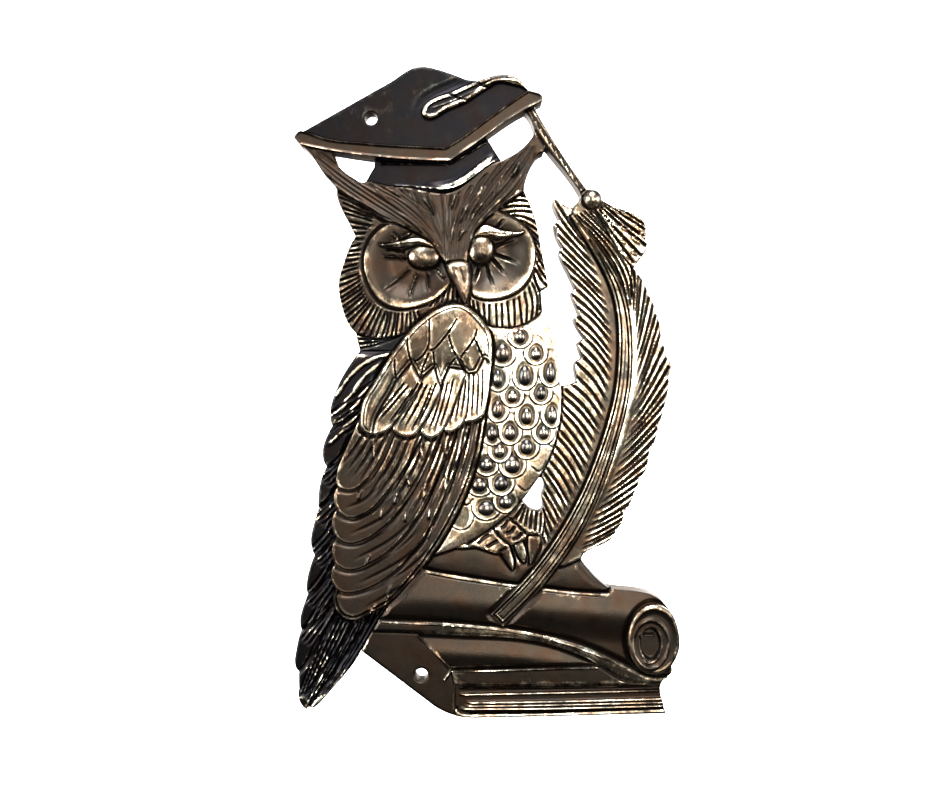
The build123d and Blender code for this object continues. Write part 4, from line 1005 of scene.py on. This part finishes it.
def bronzeMaterial(look):
    material, tree = emptyMaterial(look["name"])
    place = addNode(tree, "ShaderNodeTexCoord")
    wear = addNode(tree, "ShaderNodeAttribute", {"attribute_name": "wear"})
    stretch = addNode(tree, "ShaderNodeMapping",
                      {"Scale": (1, 1, rubMarks[0] / rubMarks[1]), "Rotation": (0, 0.5, 0)},
                      {"Vector": place.outputs["Object"]})
    marks = addNode(tree, "ShaderNodeTexNoise", {"Scale": scaleFor(rubMarks[0]), "Detail": 3.0},
                    {"Vector": stretch.outputs["Vector"]})
    cloud = addNode(tree, "ShaderNodeTexNoise", {"Scale": scaleFor(mottle), "Detail": 5.0,
                                                 "Roughness": 0.62},
                    {"Vector": place.outputs["Object"]})
    fleck = addNode(tree, "ShaderNodeMath", {"operation": "MULTIPLY_ADD"}, {0: marks.outputs["Fac"]})
    fleck.inputs[1].default_value = washLook["fleckShare"]
    fleck.inputs[2].default_value = look["shift"] + washLook["offset"]
    drift = addNode(tree, "ShaderNodeMath", {"operation": "MULTIPLY_ADD"},
                    {0: cloud.outputs["Fac"], 2: fleck.outputs[0]})
    drift.inputs[1].default_value = washLook["cloudShare"]
    total = addNode(tree, "ShaderNodeMath", {"operation": "ADD"},
                    {0: wear.outputs["Fac"], 1: drift.outputs[0]})
    ramp = addNode(tree, "ShaderNodeValToRGB", links={"Fac": total.outputs[0]})
    setStops(ramp, [(at, look[tone]) for at, tone in zip(washLook["stops"],
                                                         ("dark", "low", "mid", "high"))])
    # copper shows where the wash is thin, and a cool cast where it is thick
    patches = addNode(tree, "ShaderNodeTexNoise", {"Scale": scaleFor(washLook["tintSize"]), "Detail": 4.0},
                      {"Vector": place.outputs["Object"]})
    tint = addNode(tree, "ShaderNodeValToRGB", links={"Fac": patches.outputs["Fac"]})
    setStops(tint, washLook["tints"])
    washed = addNode(tree, "ShaderNodeVectorMath", {"operation": "MULTIPLY"},
                     {0: ramp.outputs["Color"], 1: tint.outputs["Color"]})
    sheen = addNode(tree, "ShaderNodeMapRange", {"From Min": 0.2, "From Max": 0.9,
                                                 "To Min": look["rough"][0],
                                                 "To Max": look["rough"][1]}, {"Value": total.outputs[0]})
    grain = addNode(tree, "ShaderNodeTexNoise", {"Scale": scaleFor(castGrain), "Detail": 2.0},
                    {"Vector": place.outputs["Object"]})
    bump = addNode(tree, "ShaderNodeBump", {"Strength": 0.35, "Distance": 0.15 * metre},
                   {"Height": grain.outputs["Fac"]})
    shader = addNode(tree, "ShaderNodeBsdfPrincipled", {"Metallic": 1.0}, {
        "Base Color": washed.outputs[0], "Roughness": sheen.outputs["Result"],
        "Normal": bump.outputs["Normal"]})
    addNode(tree, "ShaderNodeOutputMaterial", links={"Surface": shader.outputs["BSDF"]})
    return material


def rawCastMaterial():
    # as-cast back and side walls under a thin brown wash: dull, with a sandy tooth
    material, tree = emptyMaterial("rawCastBronzeWashed")
    place = addNode(tree, "ShaderNodeTexCoord")
    sand = addNode(tree, "ShaderNodeTexNoise", {"Scale": scaleFor(0.6), "Detail": 3.0},
                   {"Vector": place.outputs["Object"]})
    ramp = addNode(tree, "ShaderNodeValToRGB", links={"Fac": sand.outputs["Fac"]})
    ramp.color_ramp.elements[0].color = linearColour("#3a322c")
    ramp.color_ramp.elements[1].color = linearColour("#6e6256")
    bump = addNode(tree, "ShaderNodeBump", {"Strength": 0.3, "Distance": 0.2 * metre},
                   {"Height": sand.outputs["Fac"]})
    shader = addNode(tree, "ShaderNodeBsdfPrincipled", {"Metallic": 0.9, "Roughness": 0.55},
                     {"Base Color": ramp.outputs["Color"], "Normal": bump.outputs["Normal"]})
    addNode(tree, "ShaderNodeOutputMaterial", links={"Surface": shader.outputs["BSDF"]})
    return material


materials = {key: bronzeMaterial(look) for key, look in finishes.items()}
rawCast = rawCastMaterial()
print("materials made:", len(materials) + 1)


def pieceName(node):
    first, *rest = node.split("_")
    return first + "".join(word.capitalize() for word in rest) + "Relief"


def meshFrom(name, places, faces, wear, walls):
    data = bpy.data.meshes.new(name)
    data.from_pydata(places.tolist(), [], faces)
    data.attributes.new("wear", "FLOAT", "POINT").data.foreach_set("value", wear.astype(np.float32))
    data.polygons.foreach_set("use_smooth", np.ones(len(faces), bool))
    data.polygons.foreach_set("material_index", np.array(walls, np.int32))
    data.update()
    data.set_sharp_from_angle(angle=math.radians(55))
    return data


def solidParts(island):
    # the sculpted face, its side walls and a flat back on the plate
    points, rim = island["points"], island["rim"]
    front = np.c_[points[:, 0], -island["heights"], points[:, 1]]
    back = np.c_[points[:rim, 0], np.full(rim, -plateFront), points[:rim, 1]]
    places = np.concatenate([front, back])
    shift = len(front)
    faces = island["faces"].tolist()
    kinds = [0] * len(faces)
    start = 0
    for loop, kind in zip(island["loops"], island["kinds"]):
        for n in range(len(loop)):
            a, b = start + n, start + (n + 1) % len(loop)
            faces.append([a, shift + a, shift + b, b])
            kinds.append(1 if kind[n] == 0 and kind[(n + 1) % len(loop)] == 0 else 0)
        start += len(loop)
    _, backFaces = triangulated(points[:rim], island["loops"])
    faces += [[shift + c, shift + b, shift + a] for a, b, c in backFaces.tolist()]
    kinds += [0] * len(backFaces)
    return places * metre, faces, np.concatenate([island["wear"], np.zeros(rim)]), kinds


def buildPiece(node):
    places, faces, wear, kinds = [], [], [], []
    shift = 0
    for island in islands:
        if island["node"] == node:
            more, moreFaces, moreWear, moreKinds = solidParts(island)
            places.append(more)
            faces += [[shift + index for index in face] for face in moreFaces]
            wear.append(moreWear)
            kinds += moreKinds
            shift += len(more)
    name = pieceName(node)
    data = meshFrom(name, np.concatenate(places), faces, np.concatenate(wear), kinds)
    data.materials.append(materials[sculpted[node]["finish"]])
    data.materials.append(rawCast)
    piece = bpy.data.objects.new(name, data)
    bpy.context.scene.collection.objects.link(piece)
    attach(piece, "root")
    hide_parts(node)
    return piece


for node in frontToBack:
    buildPiece(node)
print("pieces built:", len(frontToBack))

# bosses: pear-shaped beads seated in their scales, dark on the flanks and lighter towards the crown: rubbed
# tops with a painted highlight on them
bossShape = {"rings": 9, "sides": 26, "rise": 1.35, "seat": 0.5, "pear": 0.14, "rub": (0.26, 0.8)}
bossCount = 22  # the lowest scale has no boss
breastTop = nodeHeight("breast")


def addBosses():
    places, faces, wear = [], [], []
    for x, z, wide, high in bosses[:bossCount]:
        first = len(places)
        for ring in range(bossShape["rings"]):
            lift = math.sin(ring / bossShape["rings"] * math.pi / 2)
            out = math.cos(ring / bossShape["rings"] * math.pi / 2)
            for side in range(bossShape["sides"]):
                angle = 2 * math.pi * side / bossShape["sides"]
                pull = 1 - bossShape["pear"] * math.sin(angle) * out
                front = breastTop - bossShape["seat"] + (bossShape["rise"] + bossShape["seat"]) * lift
                places.append((x + wide * out * math.cos(angle) * pull, -front,
                               z + high * out * math.sin(angle)))
                wear.append(bossShape["rub"][0] + (bossShape["rub"][1] - bossShape["rub"][0]) * lift ** 2)
        places.append((x, -(breastTop + bossShape["rise"]), z))
        wear.append(bossShape["rub"][1])
        for ring in range(bossShape["rings"]):
            for side in range(bossShape["sides"]):
                a = first + ring * bossShape["sides"] + side
                b = first + ring * bossShape["sides"] + (side + 1) % bossShape["sides"]
                if ring < bossShape["rings"] - 1:
                    faces.append([a, b, b + bossShape["sides"], a + bossShape["sides"]])
                else:
                    faces.append([a, b, first + bossShape["rings"] * bossShape["sides"]])
        faces.append([first + side for side in reversed(range(bossShape["sides"]))])
    data = meshFrom("breastBosses", np.array(places) * metre, faces, np.array(wear), [0] * len(faces))
    data.materials.append(materials["polished"])
    piece = bpy.data.objects.new("breastBosses", data)
    bpy.context.scene.collection.objects.link(piece)
    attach(piece, "root")
    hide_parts("breast_bosses")


addBosses()

# back plate stays as it is in the frame, with the raw cast finish
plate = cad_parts["back_plate"]
plate.data.materials.clear()
plate.data.materials.append(rawCast)
print("bosses and plate finished")


studio = {
    "wallBehind": 0.9, "floorBelow": 0.45, "wide": 6.0,  # metres
    "keyPower": 7.0, "keySize": 0.25, "keyAt": (0.1, -0.62, 0.08),
    "leftPower": 14.0, "rightPower": 9.0, "sideSize": 0.35, "leftAt": (-0.6, -0.28, 0.08),
    "rightAt": (0.6, -0.26, 0.08),
    "topPower": 26.0, "topSize": 0.4, "topAt": (-0.03, -0.28, 0.58),
    "backPower": 9.0, "backSize": 0.5, "backAt": (0.45, 0.6, 0.3), "backSideAt": (-0.5, 0.6, 0.1),
    "world": 0.08,
}


def addStage():
    # pale sweep all round: a round floor that curves up into the wall, too far away to take a shadow
    wall, floor, bend = studio["wallBehind"], -studio["floorBelow"], 0.3
    profile = [(0.001, floor), (wall - bend, floor)]
    for step in range(1, 9):
        angle = math.pi / 2 * step / 8
        profile.append((wall - bend + bend * math.sin(angle), floor + bend - bend * math.cos(angle)))
    profile.append((wall, studio["wide"] / 2))
    sides = 48
    places = [(reach * math.cos(2 * math.pi * side / sides), reach * math.sin(2 * math.pi * side / sides),
               high)
              for side in range(sides) for reach, high in profile]
    count = len(profile)
    faces = [[side * count + n, (side + 1) % sides * count + n, (side + 1) % sides * count + n + 1,
              side * count + n + 1]
             for side in range(sides) for n in range(count - 1)]
    data = bpy.data.meshes.new("sweep")
    data.from_pydata(places, [], faces)
    data.polygons.foreach_set("use_smooth", np.ones(len(faces), bool))
    material, tree = emptyMaterial("palePaperSweep")
    paper = addNode(tree, "ShaderNodeBsdfDiffuse", {"Color": linearColour("#f4f4f4")})
    glow = addNode(tree, "ShaderNodeEmission", {"Color": linearColour("#ffffff"), "Strength": 1.0})
    both = addNode(tree, "ShaderNodeAddShader", links={0: paper.outputs[0], 1: glow.outputs[0]})
    addNode(tree, "ShaderNodeOutputMaterial", links={"Surface": both.outputs[0]})
    data.materials.append(material)
    sweep = bpy.data.objects.new("sweep", data)
    sweep.visible_glossy = False  # keeps the pale sheet out of the polished slopes
    sweep.visible_diffuse = False
    sweep.visible_shadow = False
    bpy.context.scene.collection.objects.link(sweep)


def addSoftbox(name, place, size, power, colour="#ffffff"):
    light = bpy.data.lights.new(name, "AREA")
    light.size = size
    light.energy = power
    light.color = linearColour(colour)[:3]
    lamp = bpy.data.objects.new(name, light)
    lamp.location = place
    lamp.visible_camera = False
    lamp.rotation_euler = Vector(place).to_track_quat("Z", "Y").to_euler()
    bpy.context.scene.collection.objects.link(lamp)


addStage()
addSoftbox("key", studio["keyAt"], studio["keySize"], studio["keyPower"], "#fff6e6")
addSoftbox("left", studio["leftAt"], studio["sideSize"], studio["leftPower"])
addSoftbox("right", studio["rightAt"], studio["sideSize"], studio["rightPower"])
addSoftbox("top", studio["topAt"], studio["topSize"], studio["topPower"])
addSoftbox("back", studio["backAt"], studio["backSize"], studio["backPower"])
addSoftbox("backSide", studio["backSideAt"], studio["backSize"], studio["backPower"])

scene = bpy.context.scene
world = bpy.data.worlds.new("studio")
world.use_nodes = True
world.node_tree.nodes["Background"].inputs["Color"].default_value = linearColour("#e8eef6")
world.node_tree.nodes["Background"].inputs["Strength"].default_value = studio["world"]
scene.world = world
scene.view_settings.view_transform = "Standard"

viewpoint = {"distance": 370.0, "facing": 6.7, "x": -4.77, "z": -0.6, "frameWidth": 289.23}  # mm
camera = bpy.data.cameras.new("camera")
camera.sensor_width = 36
camera.lens = camera.sensor_width * viewpoint["distance"] / viewpoint["frameWidth"]
camera.clip_start, camera.clip_end = 0.01, 20
cameraObject = bpy.data.objects.new("camera", camera)
cameraObject.location = Vector((viewpoint["x"], -viewpoint["distance"] - viewpoint["facing"],
                                viewpoint["z"])) * metre
cameraObject.rotation_euler = (math.pi / 2, 0, 0)
scene.collection.objects.link(cameraObject)
scene.camera = cameraObject
print("stage, light and camera set")
